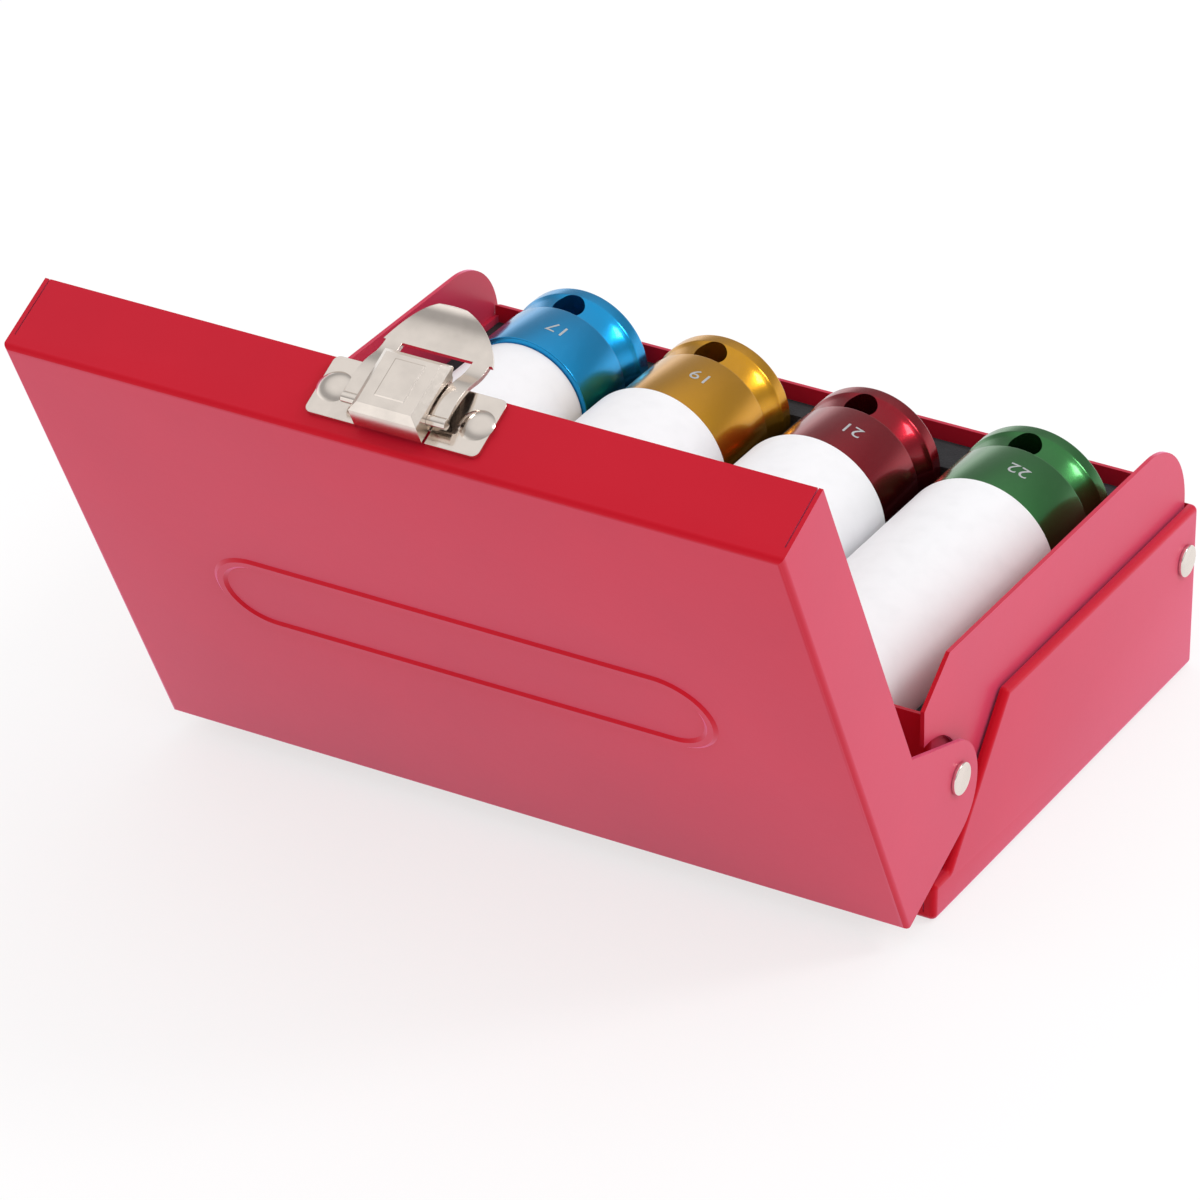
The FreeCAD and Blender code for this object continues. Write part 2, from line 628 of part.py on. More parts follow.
# ---------------------------------------------------------------- foam and sockets
def foam_liner():
    """A block of foam with one round-bottomed pocket for each socket."""
    low = TRAY_FLOOR + SHEET + FOAM_LIFT
    body = block(-FOAM_X, FOAM_X, FOAM_REAR, FOAM_FRONT, low, FOAM_TOP)
    body = body.makeChamfer(FOAM_CORNER, edges_where(body, lambda point: near(point.z, low)))
    for size in socket_row():
        radius = size.pocket_radius
        near_end = size.near_end - POCKET_GAP
        far_end = size.drive_end + POCKET_GAP
        start = side(far_end, SOCKET_AXIS_HEIGHT, size.x)
        trough = Part.makeCylinder(radius, far_end - near_end, start, FreeCAD.Vector(0, 1, 0))
        mouth = block(size.x - radius, size.x + radius, near_end, far_end,
                      SOCKET_AXIS_HEIGHT, FOAM_TOP + PLAY)
        body = body.cut(trough).cut(mouth)
    for setback, height in ((TRAY_PIVOT_SETBACK, TRAY_PIVOT_HEIGHT), (HINGE_SETBACK, HINGE_HEIGHT)):
        recess = rod(RIVET_TAIL_RADIUS + PLAY, TAB_INNER_X - RIVET_TAIL - PLAY, TRAY_X, side(setback, height))
        for tool in both_sides(recess):
            body = body.cut(tool)
    return body


def along(size, a, radius):
    """A point of a socket's turned outline: a runs from the drive end towards the hinge side."""
    return side(size.drive_end - a, SOCKET_AXIS_HEIGHT + radius, size.x)


def turned(size, edges):
    """Turn a closed outline round the socket's axis."""
    face = Part.Face(Part.Wire(edges))
    axis_point = side(size.drive_end, SOCKET_AXIS_HEIGHT, size.x)
    return face.revolve(axis_point, FreeCAD.Vector(0, 1, 0), 360)


def impact_socket(size):
    """A deep impact socket: ring, cove, crown and a slimmer core under the sleeve."""
    crown = size.crown_radius
    core = size.core_radius
    cove_start = RING_LENGTH
    cove_end = RING_LENGTH + COVE_LENGTH
    cove_low = crown - COVE_DEPTH
    points = [
        along(size, 0, 0),
        along(size, 0, crown - END_CHAMFER),
        along(size, END_CHAMFER, crown),
        along(size, cove_start, crown),
    ]
    edges = [line(points[i], points[i + 1]) for i in range(len(points) - 1)]
    ramp_end = along(size, cove_end, cove_low)
    ramp_mid = along(size, cove_start + COVE_LENGTH * COVE_KNEE, cove_low + COVE_DEPTH * COVE_KNEE)
    edges += [line(points[-1], ramp_mid), line(ramp_mid, ramp_end)]
    rest = [
        ramp_end,
        along(size, cove_end, crown),
        along(size, size.crown, crown),
        along(size, size.crown, core),
        along(size, SOCKET_LENGTH - END_CHAMFER, core),
        along(size, SOCKET_LENGTH, core - END_CHAMFER),
        along(size, SOCKET_LENGTH, 0),
        points[0],
    ]
    edges += [line(rest[i], rest[i + 1]) for i in range(len(rest) - 1)]
    body = turned(size, edges)

    half = DRIVE_SQUARE / 2
    square = block(size.x - half, size.x + half, size.drive_end - DRIVE_DEPTH, size.drive_end + PLAY,
                   SOCKET_AXIS_HEIGHT - half, SOCKET_AXIS_HEIGHT + half)
    bore_start = side(size.drive_end, SOCKET_AXIS_HEIGHT, size.x)
    bore = Part.makeCylinder(BORE_RADIUS, SOCKET_LENGTH, bore_start, FreeCAD.Vector(0, 1, 0))
    bore = bore.cut(block(size.x - crown, size.x + crown, size.drive_end - DRIVE_DEPTH, size.drive_end,
                          SOCKET_AXIS_HEIGHT - crown, SOCKET_AXIS_HEIGHT + crown))
    pin_top = side(size.drive_end - cove_start - COVE_LENGTH / 2, SOCKET_AXIS_HEIGHT - crown - PLAY, size.x)
    pin_hole = Part.makeCylinder(PIN_HOLE_RADIUS, 2 * (crown + PLAY), pin_top, FreeCAD.Vector(0, 0, 1))
    for tool in (square, bore, hexagon_well(size), pin_hole):
        body = body.cut(tool)
    return body


def hexagon_well(size):
    """The hexagonal well at the hinge end of a socket, with a flat up and a flat down."""
    corner_radius = size.hexagon / math.sqrt(3)
    well_s = size.drive_end - SOCKET_LENGTH
    corners = []
    for index in range(6):
        angle = math.radians(60 * index)
        corners.append(side(well_s - PLAY, SOCKET_AXIS_HEIGHT + corner_radius * math.sin(angle),
                            size.x + corner_radius * math.cos(angle)))
    return polygon(corners).extrude(FreeCAD.Vector(0, -HEX_DEPTH - PLAY, 0))


def protective_sleeve(size):
    """The plastic sleeve over the core of a socket, with slightly rounded ends."""
    outer = size.sleeve_radius
    inner = size.core_radius + SLEEVE_GAP
    first = size.crown + SLEEVE_GAP
    last = SOCKET_LENGTH
    points = [
        along(size, first, inner), along(size, first, outer - SLEEVE_ROUND),
        along(size, first + SLEEVE_ROUND, outer), along(size, last - SLEEVE_ROUND, outer),
        along(size, last, outer - SLEEVE_ROUND), along(size, last, inner),
    ]
    edges = [line(points[i], points[(i + 1) % len(points)]) for i in range(len(points))]
    return turned(size, edges)


# ---------------------------------------------------------------- latch
def latch_rod(radius, x, out_low, out_high):
    """A round bar square to the lid's front wall, beside the latch."""
    start = latch(LATCH_RIVET_DROP, out_low, x)
    return Part.makeCylinder(radius, out_high - out_low, start, FreeCAD.Vector(0, -1, 0))


def latch_backplate():
    """The plate on the lid, with a window under the lever and two upright pivot ears."""
    half = PLATE_WIDTH / 2
    plate = latch_block(-half, half, PLATE_TOP, PLATE_BOTTOM, 0, PLATE_SHEET)
    plate = plate.makeFillet(PLATE_CORNER, [edge for edge in plate.Edges if is_depthwise(edge)])
    window = latch_block(-PLATE_WINDOW / 2, PLATE_WINDOW / 2, PLATE_TOP - PLAY,
                         PLATE_TOP + PLATE_WINDOW_RISE, -PLAY, PLATE_SHEET + PLAY)
    notch = latch_block(-PLATE_NOTCH / 2, PLATE_NOTCH / 2, PLATE_BOTTOM - PLATE_NOTCH_RISE,
                        PLATE_BOTTOM + PLAY, -PLAY, PLATE_SHEET + PLAY)
    body = joined([plate.cut(window).cut(notch)] + both_sides(pivot_ear()))
    body = body.cut(rod(LEVER_PIN_RADIUS, -half, half, latch(LEVER_PIN_DROP, LEVER_PIN_RISE)))
    for x in (-LATCH_RIVET_OFFSET, LATCH_RIVET_OFFSET):
        body = body.cut(latch_rod(LATCH_RIVET_SHANK, x, -PLAY, PLATE_SHEET + PLAY))
    return opened(body)


def pivot_ear():
    """One ear folded up from the backplate to hold the lever pin."""
    inner = PIVOT_EAR_OFFSET
    outer = PIVOT_EAR_OFFSET + PLATE_SHEET
    eye = rod(PIVOT_EAR_RADIUS, inner, outer, latch(LEVER_PIN_DROP, LEVER_PIN_RISE))
    stem = latch_block(inner, outer, LEVER_PIN_DROP - PIVOT_EAR_RADIUS, LEVER_PIN_DROP + PIVOT_STEM_REACH,
                       0, LEVER_PIN_RISE)
    return joined([eye, stem])


def latch_rivets():
    """Two domed rivets that hold the backplate to the lid."""
    dome_radius = (LATCH_RIVET_RADIUS ** 2 + LATCH_RIVET_RISE ** 2) / (2 * LATCH_RIVET_RISE)
    rivets = []
    for x in (-LATCH_RIVET_OFFSET, LATCH_RIVET_OFFSET):
        centre = latch(LATCH_RIVET_DROP, PLATE_SHEET + LATCH_RIVET_RISE - dome_radius, x)
        dome = Part.makeSphere(dome_radius, centre)
        height = PLATE_SHEET + LATCH_RIVET_RISE + PLAY
        dome = dome.common(latch_rod(LATCH_RIVET_RADIUS, x, PLATE_SHEET, height))
        shank = latch_rod(LATCH_RIVET_SHANK, x, -SHEET, PLATE_SHEET)
        tail = latch_rod(LATCH_RIVET_RADIUS - PLAY, x, -SHEET - PLATE_SHEET, -SHEET)
        rivets.append(opened(joined([dome, shank, tail])))
    return rivets


def lever_pin():
    """The pin through both ears, on which the lever turns."""
    reach = LEVER_HALF_WIDTH
    return opened(rod(LEVER_PIN_RADIUS, -reach, reach, latch(LEVER_PIN_DROP, LEVER_PIN_RISE)))


def lever_outline(inset):
    """Side outline of the lever's cap, moved inwards by an inset."""
    top = LEVER_TOP_RISE - inset
    head = LEVER_HEAD_DROP + inset
    return [
        latch(head, LEVER_FOOT_RISE),
        latch(head, top),
        latch(LEVER_NOSE_DROP, top),
        latch(LEVER_NOSE_DROP, top - LEVER_NOSE),
        latch(LEVER_SKIRT_END, top - LEVER_NOSE - LEVER_SHEET),
        latch(LEVER_SKIRT_END, LEVER_PIN_RISE),
        latch(LEVER_PIN_DROP, LEVER_FOOT_RISE),
    ]


def latch_lever():
    """The lever: a folded cap with bevelled shoulders and a raised pad."""
    half = LEVER_HALF_WIDTH
    cap = across(polygon(lever_outline(0.0)), -half, half)
    top_y = latch(0, LEVER_TOP_RISE).y

    def on_shoulder(point):
        return near(point.y, top_y) and near(abs(point.x), half)

    def on_brow(point):
        return near(point.y, top_y) and near(point.z, latch(LEVER_HEAD_DROP, 0).z)

    cap = cap.makeChamfer(LEVER_BEVEL, edges_where(cap, on_shoulder) + edges_where(cap, on_brow))
    inner_half = half - LEVER_SHEET
    inner_top = LEVER_TOP_RISE - LEVER_SHEET
    hollow = latch_block(-inner_half, inner_half, LEVER_HEAD_DROP + LEVER_SHEET, LEVER_NOSE_DROP + PLAY,
                         0, inner_top)
    hollow_y = latch(0, inner_top).y
    hollow = hollow.makeChamfer(LEVER_BEVEL, edges_where(
        hollow, lambda point: near(point.y, hollow_y) and near(abs(point.x), inner_half)))
    body = cap.cut(hollow)

    pad = latch_block(-LEVER_PAD_WIDTH / 2, LEVER_PAD_WIDTH / 2, LEVER_PAD_TOP, LEVER_PAD_BOTTOM,
                      LEVER_TOP_RISE - PLAY, LEVER_TOP_RISE + LEVER_PAD_RISE)
    pad = pad.makeChamfer(LEVER_PAD_RISE, edges_where(
        pad, lambda point: near(point.y, latch(0, LEVER_TOP_RISE + LEVER_PAD_RISE).y)))
    body = joined([body, pad])

    cuts = [
        rod(LEVER_PIN_RADIUS + RUNNING, -half - PLAY, half + PLAY, latch(LEVER_PIN_DROP, LEVER_PIN_RISE)),
        rod(BAIL_PIN_RADIUS + RUNNING, -half - PLAY, half + PLAY, latch(BAIL_PIN_DROP, BAIL_PIN_RISE)),
        rod(ARCH_RADIUS, -half - PLAY, half + PLAY, latch(ARCH_DROP, ARCH_RISE)),
        latch_block(-half - PLAY, half + PLAY,
                    ARCH_DROP - ARCH_RADIUS, ARCH_DROP + ARCH_RADIUS, 0, ARCH_RISE),
    ]
    for tool in cuts:
        body = body.cut(tool)
    return opened(body)


def swept_arc(start, heading, end):
    """The arc that leaves a start in a heading and ends at an end: its centre, radius and new heading."""
    chord = (end[0] - start[0], end[1] - start[1])
    normal = (-math.sin(heading), math.cos(heading))
    across_chord = chord[0] * normal[0] + chord[1] * normal[1]
    radius = (chord[0] ** 2 + chord[1] ** 2) / (2 * across_chord)
    centre = (start[0] + radius * normal[0], start[1] + radius * normal[1])
    turn = 2 * math.atan2(across_chord, chord[0] * math.cos(heading) + chord[1] * math.sin(heading))
    return centre, radius, heading + turn


def bent_strip(start, heading, end):
    """One bend of the bail as a face of the sheet's thickness, and the heading at its end."""
    centre, radius, new_heading = swept_arc(start, heading, end)
    half = BAIL_SHEET / 2

    def on_bend(direction, offset):
        distance = radius - offset
        return latch(centre[0] + distance * math.sin(direction), centre[1] - distance * math.cos(direction))

    middle = (heading + new_heading) / 2
    upper = arc(on_bend(heading, half), on_bend(middle, half), on_bend(new_heading, half))
    lower = arc(on_bend(new_heading, -half), on_bend(middle, -half), on_bend(heading, -half))
    closing = line(on_bend(new_heading, half), on_bend(new_heading, -half))
    opening = line(on_bend(heading, -half), on_bend(heading, half))
    return Part.Face(Part.Wire([upper, closing, lower, opening])), new_heading


def latch_bail():
    """The bail: two S-shaped legs on stub pins, joined by a half-moon lip."""
    pin = (BAIL_PIN_DROP, BAIL_PIN_RISE)
    sway = (BAIL_SWAY_DROP, BAIL_SWAY_RISE)
    tip = (BAIL_TIP_DROP, BAIL_TIP_RISE)
    lip_x = LEG_OUTER_X + BAIL_LIP_OVERHANG
    crest, heading = bent_strip(pin, math.radians(BAIL_START_SLOPE), sway)
    dip, heading = bent_strip(sway, heading, tip)
    sheet = joined([across(crest, -lip_x, lip_x), across(dip, -lip_x, lip_x)])
    body = sheet.common(bail_plan())
    stubs = both_sides(rod(BAIL_PIN_RADIUS, LEVER_HALF_WIDTH - LEVER_SHEET, LEG_OUTER_X,
                           latch(BAIL_PIN_DROP, BAIL_PIN_RISE)))
    return opened(joined([body] + stubs))


def bail_plan():
    """What is left of the ribbon seen from the front: legs, slot and half-moon lip."""
    deep = 40.0
    legs = []
    leg = latch_block(LEG_INNER_X, LEG_OUTER_X, BAIL_PIN_DROP - deep, BAIL_SLOT_DROP + PLAY, -deep, deep)
    legs += both_sides(leg)
    lip_x = LEG_OUTER_X + BAIL_LIP_OVERHANG
    depth = BAIL_TIP_DROP - BAIL_SLOT_DROP
    radius = (lip_x ** 2 + depth ** 2) / (2 * depth)
    centre = latch(BAIL_TIP_DROP - radius, -deep)
    disc = Part.makeCylinder(radius, 2 * deep, centre, FreeCAD.Vector(0, -1, 0))
    below = latch_block(-lip_x, lip_x, BAIL_SLOT_DROP, BAIL_TIP_DROP + deep, -deep, deep)
    return joined(legs + [disc.common(below)])


# ---------------------------------------------------------------- the whole case
def pieces():
    """Every piece by name."""
    made = {
        "base_shell": [base_shell()],
        "keeper_plate": [keeper_plate()],
        "keeper_rivets": keeper_rivets(),
        "insert_tray": [insert_tray()],
        "foam_liner": [foam_liner()],
        "front_pivot_rivets": front_pivot_rivets(),
        "rear_pivot_rivets": rear_pivot_rivets(),
        "lid_shell": [lid_shell()],
        "latch_backplate": [latch_backplate()],
        "latch_rivets": latch_rivets(),
        "lever_pin": [lever_pin()],
        "latch_lever": [latch_lever()],
        "latch_bail": [latch_bail()],
    }
    for size in socket_row():
        made["socket_%d" % size.hexagon] = [impact_socket(size)]
        made["sleeve_%d" % size.hexagon] = [protective_sleeve(size)]
    return made


def write_all():
    """Write one STEP file for each piece."""
    os.makedirs("parts", exist_ok=True)
    for name, solids in pieces().items():
        shape = solids[0] if len(solids) == 1 else Part.makeCompound(solids)
        shape.exportStep("parts/%s.step" % name)


write_all()
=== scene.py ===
"""Dresses the socket case: painted sheet steel, nickel latch, coloured impact sockets with sleeves and foam.

Lengths are in metres in the frame of the CAD model: +Z up, the lid's hinge at +Y, the keeper of the latch at -Y.
"""
import math

import bmesh
import bpy
import numpy as np
from bpy.props import FloatProperty, FloatVectorProperty, IntProperty, PointerProperty
from mathutils import Matrix, Vector


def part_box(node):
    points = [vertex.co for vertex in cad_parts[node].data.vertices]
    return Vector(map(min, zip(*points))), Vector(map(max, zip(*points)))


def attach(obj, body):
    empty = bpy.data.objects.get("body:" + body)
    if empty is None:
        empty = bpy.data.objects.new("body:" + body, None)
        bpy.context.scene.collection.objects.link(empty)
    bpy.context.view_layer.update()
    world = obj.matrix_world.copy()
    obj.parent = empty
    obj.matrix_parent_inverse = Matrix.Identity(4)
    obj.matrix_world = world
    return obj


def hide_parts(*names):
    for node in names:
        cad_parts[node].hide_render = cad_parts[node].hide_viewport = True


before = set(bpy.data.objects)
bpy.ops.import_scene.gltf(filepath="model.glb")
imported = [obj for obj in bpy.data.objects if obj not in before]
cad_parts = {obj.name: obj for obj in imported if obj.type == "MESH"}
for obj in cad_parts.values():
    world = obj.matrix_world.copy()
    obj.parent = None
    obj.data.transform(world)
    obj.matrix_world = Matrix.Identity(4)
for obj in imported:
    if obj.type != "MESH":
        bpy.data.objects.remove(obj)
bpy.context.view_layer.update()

bl_info = {
    "name": "Socket Case",
    "version": (1, 0, 0),
    "blender": (4, 5, 0),
    "location": "3D View > Sidebar > Socket Case",
    "description": "Builds the visible pieces of a hinged steel case with impact sockets",
    "category": "Object",
}

MM = 0.001
COAT_NAMES = {17: "blue", 19: "gold", 21: "red", 22: "green"}
HEXAGONS = tuple(COAT_NAMES)
SHARP_ANGLE = math.radians(32)
LAMP_PLACE = (-0.80, -0.43, 0.82)
LAMP_TARGET = (0.0, 0.0, 0.03)
LAMP_SIZE = 0.3


# ---------------------------------------------------------------- settings
def length_property(name, millimetres, description):
    """A length in metres with its default given in millimetres."""
    return FloatProperty(name=name, default=millimetres * MM, min=0.0, precision=5,
                         subtype="DISTANCE", unit="LENGTH", description=description)


def colour_property(name, colour, description):
    """A linear colour without alpha."""
    return FloatVectorProperty(name=name, default=colour, min=0.0, max=1.0, size=3,
                               subtype="COLOR", description=description)


class SocketCaseSizes(bpy.types.PropertyGroup):
    """Sizes of the turned and folded pieces."""

    segments: IntProperty(name="Segments", default=192, min=48, max=384, step=24,
                          description="Faces round a socket; a multiple of 24 keeps every corner")
    drive_square: length_property("Drive Square", 12.7, "Width of the square drive")
    drive_depth: length_property("Drive Depth", 14.0, "Depth of the square drive")
    bore_radius: length_property("Bore Radius", 6.9, "Radius of the bore between drive and hexagon")
    hexagon_depth: length_property("Hexagon Depth", 26.0, "Depth of the hexagon")
    end_chamfer: length_property("End Chamfer", 0.8, "Chamfer at both ends of a socket")
    ring_length: length_property("Ring Length", 3.5, "Length of the plain ring at the drive end")
    cove_length: length_property("Cove Length", 6.0, "Length of the hollowed groove")
    cove_depth: length_property("Cove Depth", 1.35, "Depth of the hollowed groove")
    pin_hole_radius: length_property("Pin Hole Radius", 3.1, "Radius of the cross hole in the groove")
    edge_round: length_property("Edge Round", 0.25, "Radius at the turned edges of a socket")
    sleeve_wall: length_property("Sleeve Wall", 1.95, "Thickness of a protective sleeve")
    sleeve_round: length_property("Sleeve Round", 0.6, "Radius at the ends of a sleeve")
    rivet_head: length_property("Rivet Head", 0.7, "Thickness of a pivot rivet's head")
    rivet_shank_radius: length_property("Rivet Shank Radius", 1.5, "Radius of a pivot rivet's shank")


class SocketCaseColours(bpy.types.PropertyGroup):
    """Colours of the finishes."""

    paint: colour_property("Paint", (0.515, 0.003, 0.012), "Red enamel of the sheet steel")
    paint_deep: colour_property("Paint, Thick", (0.450, 0.002, 0.010), "The enamel where it lies thicker")
    nickel: colour_property("Nickel", (0.79, 0.715, 0.650), "Nickel plate of latch and rivets")
    sleeve: colour_property("Sleeve", (0.83, 0.83, 0.85), "Plastic of the sleeves")
    foam: colour_property("Foam", (0.018, 0.018, 0.020), "Closed-cell foam")
    mark: colour_property("Size Mark", (0.62, 0.64, 0.66), "Bare metal of an etched number")
    blue: colour_property("Blue Socket", (0.006, 0.300, 0.640), "Coloured coat of the 17 mm socket")
    gold: colour_property("Gold Socket", (0.610, 0.290, 0.014), "Coloured coat of the 19 mm socket")
    red: colour_property("Red Socket", (0.270, 0.006, 0.016), "Coloured coat of the 21 mm socket")
    green: colour_property("Green Socket", (0.038, 0.180, 0.050), "Coloured coat of the 22 mm socket")


class SocketCaseStage(bpy.types.PropertyGroup):
    """Camera, lamps and floor."""

    camera_place: FloatVectorProperty(name="Camera Place", default=(-0.539099, 0.984979, 0.661791), size=3,
                                      subtype="TRANSLATION", unit="LENGTH", description="Where the camera stands")
    camera_sight: FloatVectorProperty(name="Camera Sight", default=(0.428884, -0.753905, -0.497680), size=3,
                                      subtype="DIRECTION", description="Where the camera looks")
    camera_roll: FloatProperty(name="Camera Roll", default=math.radians(0.027), subtype="ANGLE",
                               description="Turn of the camera about its line of sight")
    camera_lens: FloatProperty(name="Lens", default=212.9, min=1.0, description="Focal length in millimetres")
    floor_size: length_property("Floor Size", 8000.0, "Side of the floor")
    lamp_power: FloatProperty(name="Lamp Power", default=3.4, min=0.0, unit="POWER",
                              description="Power of the soft lamp beyond the sockets")
    sky_light: FloatProperty(name="Sky Light", default=1.02, min=0.0,
                             description="Strength of the light from all round")


# ---------------------------------------------------------------- shader maths
class Flow:
    """A value on its way between shader nodes; arithmetic on it adds Math nodes."""

    def __init__(self, finish, socket):
        self.finish = finish
        self.socket = socket

    def _maths(self, operation, first, second):
        return self.finish.node("ShaderNodeMath", {"operation": operation}, {0: first, 1: second})

    def __add__(self, other):
        return self._maths("ADD", self, other)

    def __sub__(self, other):
        return self._maths("SUBTRACT", self, other)

    def __mul__(self, other):
        return self._maths("MULTIPLY", self, other)

    __radd__ = __add__


class Finish:
    """A material in the making, round one Principled shader."""

    def __init__(self, name):
        self.material = bpy.data.materials.new(name)
        self.material.use_nodes = True
        self.nodes = self.material.node_tree.nodes
        self.links = self.material.node_tree.links
        self.shader = self.nodes["Principled BSDF"]

    def node(self, kind, settings=None, inputs=None, output=0):
        """Add a node: its settings first, then the values or links of its sockets."""
        made = self.nodes.new(kind)
        for key, value in (settings or {}).items():
            if key == "stops":
                self.set_stops(made.color_ramp, value)
            else:
                setattr(made, key, value)
        for key, value in (inputs or {}).items():
            self.join(made.inputs[key], value)
        return Flow(self, made.outputs[output])

    @staticmethod
    def set_stops(ramp, stops):
        """Place a ramp's stops, given as (position, grey)."""
        while len(ramp.elements) < len(stops):
            ramp.elements.new(1.0)
        for element, (position, grey) in zip(ramp.elements, stops):
            element.position = position
            element.color = (grey, grey, grey, 1.0)

    def join(self, socket, value):
        """Link a flow to a socket, or set the socket's own value."""
        if isinstance(value, Flow):
            self.links.new(value.socket, socket)
        elif socket.type == "RGBA" and len(value) == 3:
            socket.default_value = (*value, 1.0)
        else:
            socket.default_value = value

    def set(self, **values):
        """Set or link the Principled shader's sockets; underscores stand for spaces."""
        for key, value in values.items():
            self.join(self.shader.inputs[key.replace("_", " ")], value)

    def place(self, scale=(1.0, 1.0, 1.0)):
        """Object coordinates, stretched along each axis."""
        coordinates = self.node("ShaderNodeTexCoord", output="Object")
        return self.node("ShaderNodeMapping", {}, {"Vector": coordinates, "Scale": scale})

    def noise(self, vector, scale, detail=2.0, roughness=0.5):
        """Smooth noise from 0 to 1."""
        return self.node("ShaderNodeTexNoise", {}, {"Vector": vector, "Scale": scale,
                                                    "Detail": detail, "Roughness": roughness})

    def blend(self, factor, first, second):
        """A colour between two colours."""
        return self.node("ShaderNodeMix", {"data_type": "RGBA", "clamp_factor": True},
                         {0: factor, 6: first, 7: second}, output=2)

    def ramp(self, factor, stops):
        """A grey ramp read at a factor."""
        return self.node("ShaderNodeValToRGB", {"stops": stops}, {"Fac": factor})

    def bump(self, height, distance, strength=1.0):
        """Raise the surface by a height in units of a distance in metres."""
        normal = self.node("ShaderNodeBump", {}, {"Height": height, "Distance": distance, "Strength": strength})
        self.set(Normal=normal)


def red_enamel(colours):
    """Satin baked enamel on steel: faint orange peel, colour that deepens where it is thicker, and a pale bloom."""
    finish = Finish("red_enamel")
    place = finish.place()
    cloud = finish.noise(place, 38.0, 3.0)
    peel = finish.noise(place, 420.0, 2.0)
    grain = finish.noise(place, 2600.0, 1.0)
    thick = finish.ramp(cloud, ((0.3, 0.0), (0.72, 0.6)))
    finish.set(Base_Color=finish.blend(thick, colours.paint, colours.paint_deep),
               Roughness=0.27 + grain * 0.07, IOR=1.45, Specular_Tint=(1.0, 0.15, 0.15, 1.0),
               Sheen_Weight=1.0, Sheen_Roughness=0.42, Sheen_Tint=(1.0, 0.31, 0.62, 1.0))
    finish.bump(peel * 0.8 + grain * 0.2, 0.00002, 0.4)
    return finish.material


def satin_nickel(colours):
    """Nickel plate: fine scuffs along the sheet and small pits that catch the light."""
    finish = Finish("satin_nickel")
    scuffs = finish.noise(finish.place((300.0, 1500.0, 1500.0)), 1.0, 4.0, 0.6)
    pits = finish.node("ShaderNodeTexVoronoi", {}, {"Vector": finish.place(), "Scale": 1300.0})
    patches = finish.noise(finish.place(), 260.0, 4.0)
    pit_mask = finish.ramp(pits, ((0.0, 1.0), (0.2, 0.0)))
    dull = tuple(0.84 * channel for channel in colours.nickel)
    finish.set(Base_Color=finish.blend(finish.ramp(patches, ((0.4, 0.0), (0.75, 0.6))), colours.nickel, dull),
               Metallic=1.0, Roughness=0.10 + scuffs * 0.08 + patches * 0.05)
    finish.bump(scuffs * 0.5 - pit_mask * 0.3, 0.00003, 0.15)
    return finish.material


def coloured_coat(name, colour):
    """Coloured metal coat on a turned socket: rings left by the lathe, and small rubs."""
    finish = Finish(name)
    rings = finish.noise(finish.place((0.0, 5200.0, 0.0)), 1.0, 2.0)
    rubs = finish.noise(finish.place((900.0, 300.0, 900.0)), 1.0, 3.0)
    pale = tuple(min(1.0, channel * 1.15 + 0.02) for channel in colour)
    finish.set(Base_Color=finish.blend(finish.ramp(rubs, ((0.55, 0.0), (0.9, 0.4))), colour, pale),
               Metallic=0.95, Roughness=0.20 + rings * 0.08, IOR=1.5, Coat_Weight=0.35, Coat_Roughness=0.07)
    finish.bump(rings, 0.00001, 0.3)
    return finish.material


def sleeve_plastic(colours):
    """White sleeve plastic with a faint mottle from its mould."""
    finish = Finish("sleeve_plastic")
    mottle = finish.noise(finish.place(), 700.0, 3.0, 0.6)
    dust = finish.noise(finish.place(), 260.0, 2.0)
    shade = tuple(0.955 * channel for channel in colours.sleeve)
    finish.set(Base_Color=finish.blend(finish.ramp(dust, ((0.45, 0.0), (0.85, 1.0))), colours.sleeve, shade),
               Roughness=0.42 + mottle * 0.12, IOR=1.46)
    finish.bump(mottle, 0.00004, 0.5)
    return finish.material


def closed_cell_foam(colours):
    """Matt black foam whose cells show as small pores."""
    finish = Finish("closed_cell_foam")
    cells = finish.node("ShaderNodeTexVoronoi", {}, {"Vector": finish.place(), "Scale": 1900.0})
    drift = finish.noise(finish.place(), 140.0, 3.0)
    pore = finish.ramp(cells, ((0.0, 0.0), (0.55, 1.0)))
    pale = tuple(2.4 * channel for channel in colours.foam)
    finish.set(Base_Color=finish.blend(finish.ramp(drift, ((0.3, 0.0), (0.8, 1.0))), colours.foam, pale),
               Roughness=0.82 + pore * 0.12, IOR=1.4)
    finish.bump(pore, 0.00012, 0.7)
    return finish.material


def etched_metal(colours):
    """Bare metal in an etched number, a little uneven."""
    finish = Finish("etched_metal")
    worn = finish.noise(finish.place(), 1500.0, 3.0)
    shade = tuple(0.7 * channel for channel in colours.mark)
    finish.set(Base_Color=finish.blend(worn, colours.mark, shade), Metallic=0.6, Roughness=0.38 + worn * 0.1)
    return finish.material


# ---------------------------------------------------------------- surfaces
def wrapped_faces(rows, columns, close_rows, close_columns):
    """Quads between neighbours of a grid, wrapped round where it closes on itself."""
    row = np.arange(rows if close_rows else rows - 1)
    column = np.arange(columns if close_columns else columns - 1)
    r, c = np.meshgrid(row, column, indexing="ij")
    r_next = (r + 1) % rows
    c_next = (c + 1) % columns
    here = r * columns
    beyond = r_next * columns
    return np.stack([here + c, here + c_next, beyond + c_next, beyond + c], -1).reshape(-1, 4)


